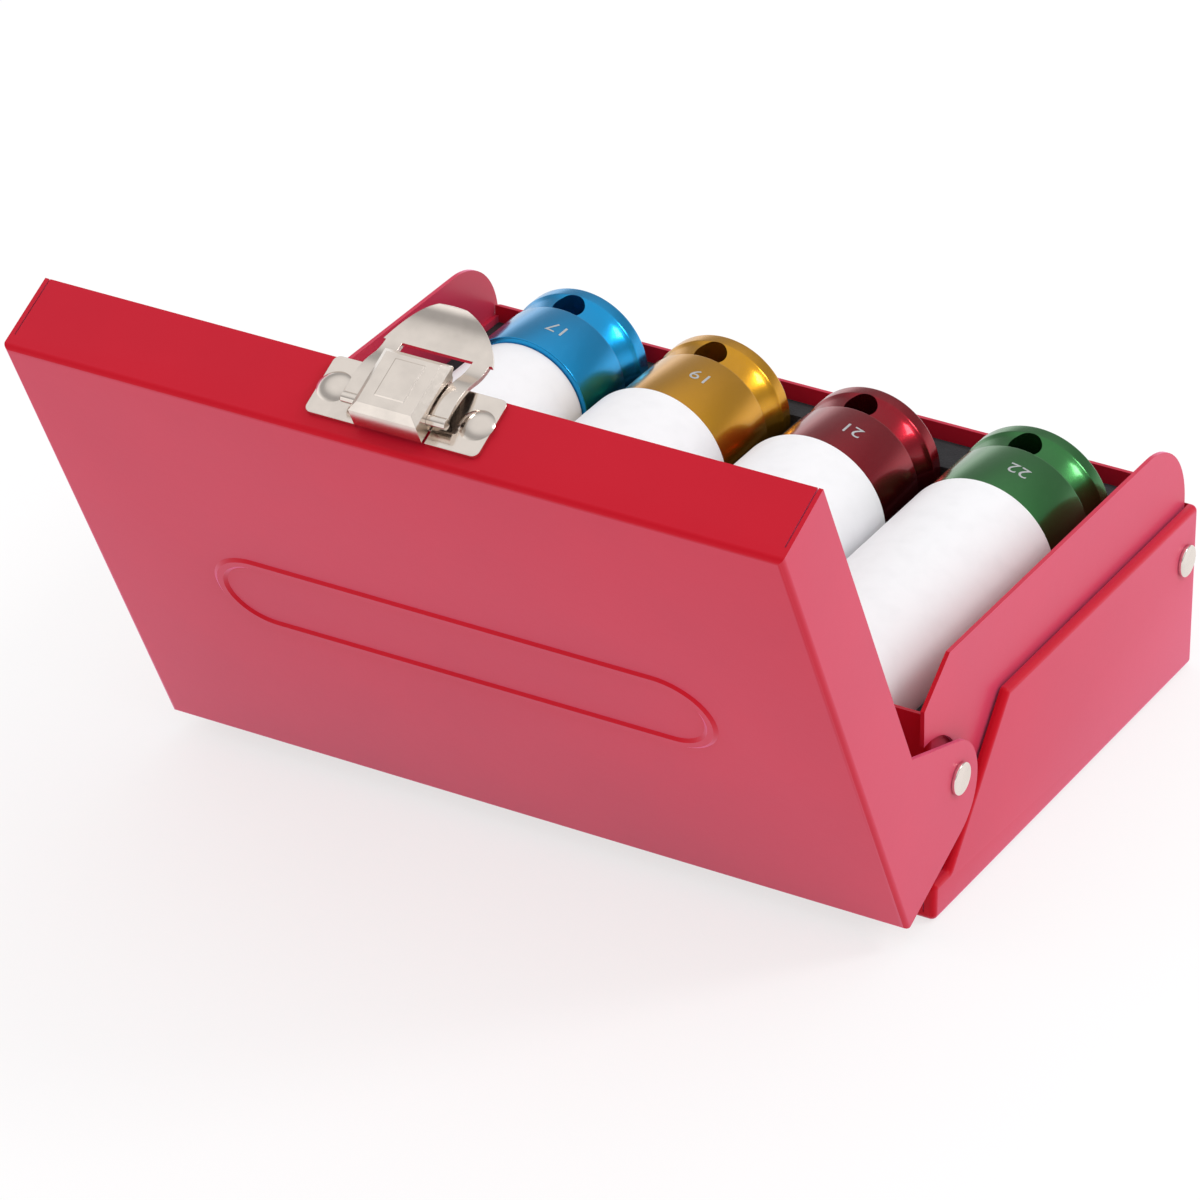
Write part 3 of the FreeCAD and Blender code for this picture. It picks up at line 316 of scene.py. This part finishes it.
def mesh_object(name, points, quads, material):
    """An object from points and quads, smooth but for its sharp edges, with its faces turned outwards."""
    mesh = bpy.data.meshes.new(name)
    points = np.asarray(points, np.float32).reshape(-1, 3)
    mesh.vertices.add(len(points))
    mesh.vertices.foreach_set("co", points.ravel())
    mesh.loops.add(4 * len(quads))
    mesh.loops.foreach_set("vertex_index", np.asarray(quads, np.int32).ravel())
    mesh.polygons.add(len(quads))
    mesh.polygons.foreach_set("loop_start", 4 * np.arange(len(quads), dtype=np.int32))
    mesh.update(calc_edges=True)
    mesh.validate()
    return finished_object(name, mesh, material)


def finished_object(name, mesh, material):
    """Link a mesh: doubles merged, normals outwards, smooth shading up to the sharp angle."""
    made = bmesh.new()
    made.from_mesh(mesh)
    bmesh.ops.remove_doubles(made, verts=made.verts, dist=1e-7)
    bmesh.ops.recalc_face_normals(made, faces=made.faces)
    made.to_mesh(mesh)
    made.free()
    mesh.polygons.foreach_set("use_smooth", np.ones(len(mesh.polygons), bool))
    mesh.set_sharp_from_angle(angle=SHARP_ANGLE)
    mesh.materials.clear()
    mesh.materials.append(material)
    piece = bpy.data.objects.new(name, mesh)
    bpy.context.scene.collection.objects.link(piece)
    return piece


def eased(path, radius, steps=4):
    """A path with each inner corner replaced by a short curve.

    The curve is (1-t)^2 A + 2t(1-t) P + t^2 B, where P is the corner and A and B lie a radius before and after it.
    """
    path = np.asarray(path, float)
    t = np.linspace(0.0, 1.0, steps + 1)[:, None]
    parts = [path[:1]]
    for before, corner, after in zip(path[:-2], path[1:-1], path[2:]):
        back = before - corner
        ahead = after - corner
        reach_back = min(radius, 0.45 * np.linalg.norm(back))
        reach_ahead = min(radius, 0.45 * np.linalg.norm(ahead))
        first = corner + back / np.linalg.norm(back) * reach_back
        last = corner + ahead / np.linalg.norm(ahead) * reach_ahead
        parts.append((1 - t) ** 2 * first + 2 * t * (1 - t) * corner + t ** 2 * last)
    parts.append(path[-1:])
    return np.concatenate(parts)


def polygon_reach(sides, across_flats, angles, phase=0.0):
    """Distance from a regular polygon's centre to its edge: half its width over the cosine to the nearest flat."""
    step = 2 * math.pi / sides
    to_flat = (angles - phase + step / 2) % step - step / 2
    return across_flats / 2 / np.cos(to_flat)


def turned_grid(stations, reach, centre, angles):
    """Points round a line along Y: at each station, x = reach cos(angle) and z = reach sin(angle)."""
    x = centre[0] + reach * np.cos(angles)
    z = centre[1] + reach * np.sin(angles)
    y = np.broadcast_to(np.asarray(stations)[:, None], x.shape)
    return np.stack([x, y, z], -1)


def without_cutter(piece, cutter):
    """Cut a closed tool out of a piece, keep the result as plain mesh, and drop the tool."""
    modifier = piece.modifiers.new("cut", "BOOLEAN")
    modifier.operation = "DIFFERENCE"
    modifier.solver = "EXACT"
    modifier.object = cutter
    bpy.context.view_layer.update()
    evaluated = piece.evaluated_get(bpy.context.evaluated_depsgraph_get())
    mesh = bpy.data.meshes.new_from_object(evaluated)
    name = piece.name
    material = piece.data.materials[0]
    bpy.data.objects.remove(piece)
    bpy.data.objects.remove(cutter)
    return finished_object(name, mesh, material)


def settle(piece, body, slot, *nodes):
    """Tie a piece to its body, in the place of the CAD nodes that it stands for; the slot is not used."""
    if nodes:
        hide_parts(*nodes)
    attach(piece, body)
    return piece


def dress_node(node, material):
    """Give a CAD node a material and leave its shape alone."""
    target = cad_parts[node]
    target.data.materials.clear()
    target.data.materials.append(material)


def softened_copy(name, node, body, slot, material, width, segments=2):
    """A CAD node's own shape with flat faces merged and every sharp edge rounded a little."""
    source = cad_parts[node].data
    points = np.zeros(3 * len(source.vertices), np.float32)
    source.vertices.foreach_get("co", points)
    faces = [tuple(face.vertices) for face in source.polygons]
    mesh = bpy.data.meshes.new(name)
    mesh.from_pydata(points.reshape(-1, 3).tolist(), [], faces)
    made = bmesh.new()
    made.from_mesh(mesh)
    bmesh.ops.remove_doubles(made, verts=made.verts, dist=1e-6)
    bmesh.ops.dissolve_limit(made, angle_limit=math.radians(0.4), verts=made.verts, edges=made.edges)
    made.to_mesh(mesh)
    made.free()
    piece = finished_object(name, mesh, material)
    bevel = piece.modifiers.new("edges", "BEVEL")
    bevel.width = width
    bevel.segments = segments
    bevel.limit_method = "ANGLE"
    bevel.angle_limit = SHARP_ANGLE
    bevel.harden_normals = True
    return settle(piece, body, slot, node)


# ---------------------------------------------------------------- sockets
def socket_measures(hexagon):
    """Axis (x, z), drive end y, far end y, crown end y and radii of a socket, read from the frame."""
    low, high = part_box("socket_%d" % hexagon)
    sleeve_low, sleeve_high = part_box("sleeve_%d" % hexagon)
    axis = ((sleeve_low.x + sleeve_high.x) / 2, (sleeve_low.z + sleeve_high.z) / 2)
    return {
        "axis": axis,
        "drive_end": low.y,
        "far_end": high.y,
        "crown_end": sleeve_low.y,
        "crown": (high.x - low.x) / 2,
        "sleeve": (sleeve_high.x - sleeve_low.x) / 2,
    }


def socket_outline(sizes, measures, core):
    """Outside of a socket as (distance from the drive end, radius): chamfer, ring, cove, body, shoulder, core.

    The cove falls below the crown by depth * (1 - s)^0.62, with s from 1 at the ring to 0 at its deepest, by the body.
    """
    crown = measures["crown"]
    length = measures["far_end"] - measures["drive_end"]
    body_end = measures["crown_end"] - measures["drive_end"]
    cove_start = sizes.ring_length
    cove_end = cove_start + sizes.cove_length
    chamfer = sizes.end_chamfer
    s = np.linspace(1.0, 0.0, 15)[1:]
    ramp = np.stack([cove_end - s * sizes.cove_length, crown - sizes.cove_depth * (1 - s) ** 0.62], -1)
    first = eased([(0.0, crown - 2.5 * chamfer), (0.0, crown - chamfer), (chamfer, crown),
                   (cove_start, crown), tuple(ramp[1])], sizes.edge_round)
    middle = ramp[2:-1]
    last = eased([tuple(ramp[-1]), (cove_end, crown), (body_end, crown), (body_end, core),
                  (length - chamfer, core), (length, core - chamfer), (length, core - 1.6 * chamfer)],
                 sizes.edge_round)
    return np.concatenate([first, middle, last])


def build_socket(hexagon, sizes, material):
    """One closed surface: the outline turned round the axis, then hexagon, bore and square drive back to its start."""
    measures = socket_measures(hexagon)
    core = measures["sleeve"] - sizes.sleeve_wall - 0.05 * MM
    outline = socket_outline(sizes, measures, core)
    angles = np.arange(sizes.segments) * 2 * math.pi / sizes.segments
    length = measures["far_end"] - measures["drive_end"]
    hexagon_reach = polygon_reach(6, hexagon * MM, angles, math.pi / 2)
    square_reach = polygon_reach(4, sizes.drive_square, angles)
    lead = 0.35 * MM
    inner = [
        (length, hexagon_reach + lead),
        (length - lead, hexagon_reach),
        (length - sizes.hexagon_depth, hexagon_reach),
        (length - sizes.hexagon_depth, np.full_like(angles, sizes.bore_radius)),
        (sizes.drive_depth, np.full_like(angles, sizes.bore_radius)),
        (sizes.drive_depth, square_reach),
        (lead, square_reach),
        (0.0, square_reach + lead),
    ]
    stations = np.concatenate([outline[:, 0], [row[0] for row in inner]]) + measures["drive_end"]
    reach = np.concatenate([np.repeat(outline[:, 1:], len(angles), axis=1), np.stack([row[1] for row in inner])])
    points = turned_grid(stations, reach, measures["axis"], angles)
    quads = wrapped_faces(len(stations), len(angles), True, True)
    piece = mesh_object("socket_body_%d" % hexagon, points, quads, material)
    hole_y = measures["drive_end"] + sizes.ring_length + 0.48 * sizes.cove_length
    cutter = upright_bar("pin_cutter", (measures["axis"][0], hole_y, measures["axis"][1]),
                         sizes.pin_hole_radius, measures["crown"] + MM, material)
    piece = without_cutter(piece, cutter)
    return settle(piece, "insert", "%s_anodised" % COAT_NAMES[hexagon], "socket_%d" % hexagon)


def upright_bar(name, centre, radius, half_length, material, segments=48):
    """A closed upright bar: rings of radius 0, r, r, 0 at its two ends."""
    angles = np.arange(segments) * 2 * math.pi / segments
    rings = np.array([(1e-6, -1.0), (radius, -1.0), (radius, 1.0), (1e-6, 1.0)])
    x = centre[0] + rings[:, :1] * np.cos(angles)
    y = centre[1] + rings[:, :1] * np.sin(angles)
    z = centre[2] + np.repeat(rings[:, 1:], segments, axis=1) * half_length
    return mesh_object(name, np.stack([x, y, z], -1), wrapped_faces(4, segments, True, True), material)


def build_sleeve(hexagon, sizes, material):
    """A tube turned round the socket's axis, with rounded ends."""
    measures = socket_measures(hexagon)
    outer = measures["sleeve"]
    inner = outer - sizes.sleeve_wall
    start = 0.05 * MM
    length = measures["far_end"] - measures["crown_end"]
    middle = (inner + outer) / 2
    outline = eased([(start, middle), (start, outer), (length, outer), (length, middle)], sizes.sleeve_round, 6)
    inside = eased([(length, middle), (length, inner), (start, inner), (start, middle)], 0.2 * MM, 2)
    outline = np.concatenate([outline, inside[1:-1]])
    angles = np.arange(sizes.segments) * 2 * math.pi / sizes.segments
    stations = outline[:, 0] + measures["crown_end"]
    points = turned_grid(stations, np.repeat(outline[:, 1:], len(angles), axis=1), measures["axis"], angles)
    piece = mesh_object("socket_sleeve_%d" % hexagon, points,
                        wrapped_faces(len(stations), len(angles), True, True), material)
    return settle(piece, "insert", "white_sleeve", "sleeve_%d" % hexagon)


# ---------------------------------------------------------------- foam
def build_foam(material):
    """Foam block as a height over its plan.

    The height is the top, and in the trough of each socket z = axis - sqrt(r^2 - (x - x0)^2).
    """
    low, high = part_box("foam_liner")
    gap = 0.3 * MM
    edge = 0.25 * MM
    troughs = []
    x_lines = [np.linspace(low.x, high.x, 60)]
    y_lines = [np.linspace(low.y, high.y, 40)]
    for hexagon in HEXAGONS:
        measures = socket_measures(hexagon)
        radius = max(measures["crown"], measures["sleeve"]) + gap
        first = measures["drive_end"] - gap
        last = measures["far_end"] + gap
        troughs.append((measures["axis"], radius, first, last))
        swing = np.cos(np.linspace(0.0, math.pi, 33))
        middle = measures["axis"][0]
        x_lines += [middle + radius * swing, [middle - radius - edge, middle + radius + edge]]
        y_lines += [[first - edge, first, last, last + edge]]
    x = np.unique(np.round(np.concatenate(x_lines), 6))
    y = np.unique(np.round(np.concatenate(y_lines), 6))
    grid_x, grid_y = np.meshgrid(x, y, indexing="ij")
    height = np.full_like(grid_x, high.z)
    for (centre, axis_z), radius, first, last in troughs:
        across = np.abs(grid_x - centre)
        inside = (across <= radius + 1e-9) & (grid_y >= first - 1e-9) & (grid_y <= last + 1e-9)
        floor = axis_z - np.sqrt(np.clip(radius ** 2 - across ** 2, 0.0, None))
        height = np.where(inside, np.minimum(height, floor), height)
    round_off = 0.6 * MM
    border = np.minimum.reduce([grid_x - low.x, high.x - grid_x, grid_y - low.y, high.y - grid_y])
    height = height - np.clip(round_off - border, 0.0, None) ** 2 / round_off
    top = np.stack([grid_x, grid_y, height], -1)
    bottom = np.stack([grid_x, grid_y, np.full_like(grid_x, low.z)], -1)
    rows, columns = grid_x.shape
    top_faces = wrapped_faces(rows, columns, False, False)
    count = rows * columns
    index = np.arange(count).reshape(rows, columns)
    rim = np.concatenate([index[:, 0], index[-1, 1:], index[-2::-1, -1], index[0, -2:0:-1]])
    rim_next = np.roll(rim, -1)
    walls = np.stack([rim, rim_next, rim_next + count, rim + count], -1)
    quads = np.concatenate([top_faces, top_faces[:, ::-1] + count, walls])
    piece = mesh_object("foam_bed", np.concatenate([top.reshape(-1, 3), bottom.reshape(-1, 3)]), quads, material)
    settle(piece, "insert", "foam", "foam_liner")
    return piece


# ---------------------------------------------------------------- rivets
def head_outline(radius, rise, dish):
    """Half outline of a rivet head as (height, radius): edge rounded, face dished by dish * (1 - (r/R)^2)."""
    corner = 0.45 * rise
    rim = eased([(0.0, radius), (rise, radius), (rise, radius - 2 * corner)], corner, 5)
    r = np.linspace(radius - 2 * corner, 0.0, 9)[1:]
    face = np.stack([rise - dish * (1 - (r / (radius - 2 * corner)) ** 2), np.maximum(r, 1e-6)], -1)
    return np.concatenate([rim, face])


def build_pivot_rivets(node, sizes, material):
    """Both rivets of a pair along X: head, shank and tail turned round one line, and their mirror image."""
    low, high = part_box(node)
    y = (low.y + high.y) / 2
    z = (low.z + high.z) / 2
    head_radius = (high.z - low.z) / 2
    head_start = high.x - sizes.rivet_head
    head = head_outline(head_radius, sizes.rivet_head, 0.08 * MM)[::-1]
    head[:, 0] += head_start
    shank = sizes.rivet_shank_radius
    tail_end = 70.4 * MM
    tail_start = tail_end + 0.9 * MM
    tail_bevel = tail_end + 0.3 * MM
    tail_radius = 1.9 * MM
    tail_face = 1.5 * MM
    rest = np.array([(head_start, shank), (tail_start, shank), (tail_start, tail_radius), (tail_bevel, tail_radius),
                     (tail_end, tail_face), (tail_end, 1e-6)])
    outline = np.concatenate([head, rest])
    segments = 64
    angles = np.arange(segments) * 2 * math.pi / segments
    right = np.stack([
        np.repeat(outline[:, :1], segments, axis=1),
        y + outline[:, 1:] * np.cos(angles),
        z + outline[:, 1:] * np.sin(angles),
    ], -1).reshape(-1, 3)
    left = right * np.array([-1.0, 1.0, 1.0])
    quads = wrapped_faces(len(outline), segments, False, True)
    piece = mesh_object(node.replace("pivot_rivets", "rivet_pair"), np.concatenate([right, left]),
                        np.concatenate([quads, quads + len(right)]), material)
    return settle(piece, "insert", "nickel", node)


# ---------------------------------------------------------------- size marks
def build_size_mark(hexagon, material):
    """The socket's size as flat numerals laid on the crown: x goes round it, y along it, a hair above the metal."""
    numeral_height = 4.4 * MM
    above_metal = 0.02 * MM
    from_drive_end = 16.0 * MM
    middle_angle = math.radians(104)
    measures = socket_measures(hexagon)
    curve = bpy.data.curves.new("mark_text", "FONT")
    curve.body = str(hexagon)
    curve.size = numeral_height
    curve.align_x = "CENTER"
    curve.align_y = "CENTER"
    curve.resolution_u = 6
    writing = bpy.data.objects.new("mark_text", curve)
    bpy.context.scene.collection.objects.link(writing)
    bpy.context.view_layer.update()
    mesh = bpy.data.meshes.new_from_object(writing.evaluated_get(bpy.context.evaluated_depsgraph_get()))
    bpy.data.objects.remove(writing)
    made = bmesh.new()
    made.from_mesh(mesh)
    bmesh.ops.triangulate(made, faces=made.faces)
    for _ in range(2):
        bmesh.ops.subdivide_edges(made, edges=made.edges, cuts=1)
    made.to_mesh(mesh)
    made.free()
    flat = np.zeros(3 * len(mesh.vertices))
    mesh.vertices.foreach_get("co", flat)
    flat = flat.reshape(-1, 3)
    radius = measures["crown"] + above_metal
    angle = middle_angle - flat[:, 0] / radius
    x = measures["axis"][0] + radius * np.cos(angle)
    y = measures["drive_end"] + from_drive_end + flat[:, 1]
    z = measures["axis"][1] + radius * np.sin(angle)
    points = np.stack([x, y, z], -1)
    mesh.vertices.foreach_set("co", points.astype(np.float32).ravel())
    mesh.update()
    mesh.materials.clear()
    mesh.materials.append(material)
    piece = bpy.data.objects.new("size_mark_%d" % hexagon, mesh)
    bpy.context.scene.collection.objects.link(piece)
    return settle(piece, "insert", "%s_anodised" % COAT_NAMES[hexagon])


# ---------------------------------------------------------------- stage
def build_floor(stage):
    """A pale floor that keeps its shadows, lit up a little for the camera so that it reads as white."""
    half = stage.floor_size / 2
    below_case = 0.3 * MM
    line = np.linspace(-half, half, 9)
    x, y = np.meshgrid(line, line, indexing="ij")
    points = np.stack([x, y, np.full_like(x, -below_case)], -1)
    finish = Finish("pale_floor")
    finish.set(Base_Color=(0.93, 0.93, 0.94), Roughness=0.9, Specular_IOR_Level=0.0)
    seen = finish.node("ShaderNodeLightPath", output="Is Camera Ray")
    mirrored = finish.node("ShaderNodeLightPath", output="Is Glossy Ray")
    glow = finish.node("ShaderNodeEmission", {}, {"Color": (1.0, 1.0, 1.0), "Strength": 1.0})
    mixed = finish.node("ShaderNodeMixShader", {}, {0: seen * 0.7 + mirrored * 0.85})
    finish.links.new(finish.shader.outputs[0], mixed.socket.node.inputs[1])
    finish.links.new(glow.socket, mixed.socket.node.inputs[2])
    finish.links.new(mixed.socket, finish.nodes["Material Output"].inputs["Surface"])
    floor = mesh_object("stage_floor", points, wrapped_faces(len(line), len(line), False, False), finish.material)
    return floor


def light_world(stage):
    """Even light from all round; reflections see it bright near the horizon, dimmer above and pale overhead."""
    world = bpy.data.worlds.new("studio")
    bpy.context.scene.world = world
    world.use_nodes = True
    nodes = world.node_tree.nodes
    links = world.node_tree.links
    background = nodes["Background"]
    background.inputs["Color"].default_value = (1.0, 1.0, 1.0, 1.0)
    path = nodes.new("ShaderNodeLightPath")
    place = nodes.new("ShaderNodeTexCoord")
    split = nodes.new("ShaderNodeSeparateXYZ")
    links.new(place.outputs["Generated"], split.inputs[0])
    height = nodes.new("ShaderNodeValToRGB")
    Finish.set_stops(height.color_ramp, ((0.10, 1.2), (0.30, 0.42), (0.52, 0.46), (0.70, 0.78), (0.88, 0.92)))
    links.new(split.outputs["Z"], height.inputs["Fac"])
    glossy = nodes.new("ShaderNodeMix")
    glossy.inputs[2].default_value = stage.sky_light
    links.new(path.outputs["Is Glossy Ray"], glossy.inputs[0])
    links.new(height.outputs["Color"], glossy.inputs[3])
    camera = nodes.new("ShaderNodeMix")
    camera.inputs[3].default_value = 1.0
    links.new(path.outputs["Is Camera Ray"], camera.inputs[0])
    links.new(glossy.outputs[0], camera.inputs[2])
    links.new(camera.outputs[0], background.inputs["Strength"])


def add_lamp(name, place, target, size, power):
    """A square soft lamp aimed at a point."""
    lamp = bpy.data.lights.new(name, "AREA")
    lamp.shape = "SQUARE"
    lamp.size = size
    lamp.energy = power
    holder = bpy.data.objects.new(name, lamp)
    sight = Vector(target) - Vector(place)
    holder.matrix_world = Matrix.Translation(place) @ sight.to_track_quat("-Z", "Y").to_matrix().to_4x4()
    bpy.context.scene.collection.objects.link(holder)


def add_camera(stage):
    """The camera, looking along its sight and rolled about it."""
    lens = bpy.data.cameras.new("view")
    lens.sensor_width = 36.0
    lens.lens = stage.camera_lens
    lens.clip_start = 0.05
    lens.clip_end = 50.0
    camera = bpy.data.objects.new("view", lens)
    turn = Vector(stage.camera_sight).to_track_quat("-Z", "Y").to_matrix().to_4x4()
    camera.matrix_world = Matrix.Translation(stage.camera_place) @ turn @ Matrix.Rotation(stage.camera_roll, 4, "Z")
    bpy.context.scene.collection.objects.link(camera)
    bpy.context.scene.camera = camera


# ---------------------------------------------------------------- operators
class SOCKETCASE_OT_sheet_steel(bpy.types.Operator):
    """Paint the base, the tray and the lid"""

    bl_idname = "socketcase.sheet_steel"
    bl_label = "Sheet Steel"

    def execute(self, context):
        paint = red_enamel(context.scene.socketcase_colours)
        softened_copy("painted_base", "base_shell", "base", "red_paint", paint, 0.15 * MM)
        softened_copy("painted_tray", "insert_tray", "insert", "red_paint", paint, 0.15 * MM)
        softened_copy("painted_lid", "lid_shell", "lid", "red_paint", paint, 0.15 * MM)
        return {"FINISHED"}


class SOCKETCASE_OT_sockets(bpy.types.Operator):
    """Turn the sockets with their grooves, hexagons and drives"""

    bl_idname = "socketcase.sockets"
    bl_label = "Sockets"

    def execute(self, context):
        colours = context.scene.socketcase_colours
        sizes = context.scene.socketcase_sizes
        for hexagon in HEXAGONS:
            name = COAT_NAMES[hexagon]
            build_socket(hexagon, sizes, coloured_coat("%s_coat" % name, tuple(getattr(colours, name))))
        return {"FINISHED"}


class SOCKETCASE_OT_sleeves(bpy.types.Operator):
    """Turn the protective sleeves"""

    bl_idname = "socketcase.sleeves"
    bl_label = "Sleeves"

    def execute(self, context):
        plastic = sleeve_plastic(context.scene.socketcase_colours)
        for hexagon in HEXAGONS:
            build_sleeve(hexagon, context.scene.socketcase_sizes, plastic)
        return {"FINISHED"}


class SOCKETCASE_OT_size_marks(bpy.types.Operator):
    """Lay the size of each socket on its crown"""

    bl_idname = "socketcase.size_marks"
    bl_label = "Size Marks"

    def execute(self, context):
        metal = etched_metal(context.scene.socketcase_colours)
        for hexagon in HEXAGONS:
            build_size_mark(hexagon, metal)
        return {"FINISHED"}


class SOCKETCASE_OT_foam_bed(bpy.types.Operator):
    """Shape the foam with a trough for each socket"""

    bl_idname = "socketcase.foam_bed"
    bl_label = "Foam Bed"

    def execute(self, context):
        build_foam(closed_cell_foam(context.scene.socketcase_colours))
        return {"FINISHED"}


class SOCKETCASE_OT_fittings(bpy.types.Operator):
    """Make the rivets and plate the latch and its catch"""

    bl_idname = "socketcase.fittings"
    bl_label = "Nickel Fittings"

    def execute(self, context):
        nickel = satin_nickel(context.scene.socketcase_colours)
        for node in ("front_pivot_rivets", "rear_pivot_rivets"):
            build_pivot_rivets(node, context.scene.socketcase_sizes, nickel)
        softened_copy("plated_backplate", "latch_backplate", "lid", "nickel", nickel, 0.12 * MM)
        softened_copy("plated_lever", "latch_lever", "lever", "nickel", nickel, 0.42 * MM, 4)
        softened_copy("plated_bail", "latch_bail", "bail", "nickel", nickel, 0.22 * MM, 3)
        for node in ("latch_rivets", "lever_pin", "keeper_plate", "keeper_rivets"):
            dress_node(node, nickel)
        return {"FINISHED"}


class SOCKETCASE_OT_stage(bpy.types.Operator):
    """Set up the floor, the light and the camera"""

    bl_idname = "socketcase.stage"
    bl_label = "Stage"

    def execute(self, context):
        stage = context.scene.socketcase_stage
        build_floor(stage)
        light_world(stage)
        add_lamp("soft_lamp", LAMP_PLACE, LAMP_TARGET, LAMP_SIZE, stage.lamp_power)
        add_camera(stage)
        context.scene.view_settings.view_transform = "Standard"
        return {"FINISHED"}


PIECE_OPERATORS = (
    SOCKETCASE_OT_sheet_steel,
    SOCKETCASE_OT_foam_bed,
    SOCKETCASE_OT_sockets,
    SOCKETCASE_OT_sleeves,
    SOCKETCASE_OT_size_marks,
    SOCKETCASE_OT_fittings,
    SOCKETCASE_OT_stage,
)


class SOCKETCASE_PT_sidebar(bpy.types.Panel):
    """Lists the pieces in the order in which they are made"""

    bl_label = "Socket Case"
    bl_space_type = "VIEW_3D"
    bl_region_type = "UI"
    bl_category = "Socket Case"

    def draw(self, context):
        for operator in PIECE_OPERATORS:
            self.layout.operator(operator.bl_idname)
        for group in (context.scene.socketcase_sizes, context.scene.socketcase_colours,
                      context.scene.socketcase_stage):
            box = self.layout.box()
            for name in group.bl_rna.properties.keys():
                if name not in {"rna_type", "name"}:
                    box.prop(group, name)


CLASSES = (SocketCaseSizes, SocketCaseColours, SocketCaseStage) + PIECE_OPERATORS + (SOCKETCASE_PT_sidebar,)


def register():
    """Register the classes and hang the settings on the scene."""
    for kind in CLASSES:
        bpy.utils.register_class(kind)
    bpy.types.Scene.socketcase_sizes = PointerProperty(type=SocketCaseSizes)
    bpy.types.Scene.socketcase_colours = PointerProperty(type=SocketCaseColours)
    bpy.types.Scene.socketcase_stage = PointerProperty(type=SocketCaseStage)


def unregister():
    """Undo register."""
    del bpy.types.Scene.socketcase_stage
    del bpy.types.Scene.socketcase_colours
    del bpy.types.Scene.socketcase_sizes
    for kind in reversed(CLASSES):
        bpy.utils.unregister_class(kind)


def main():
    """Register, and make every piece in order."""
    register()
    for operator in PIECE_OPERATORS:
        group, action = operator.bl_idname.split(".")
        getattr(getattr(bpy.ops, group), action)()


if __name__ == "__main__":
    main()
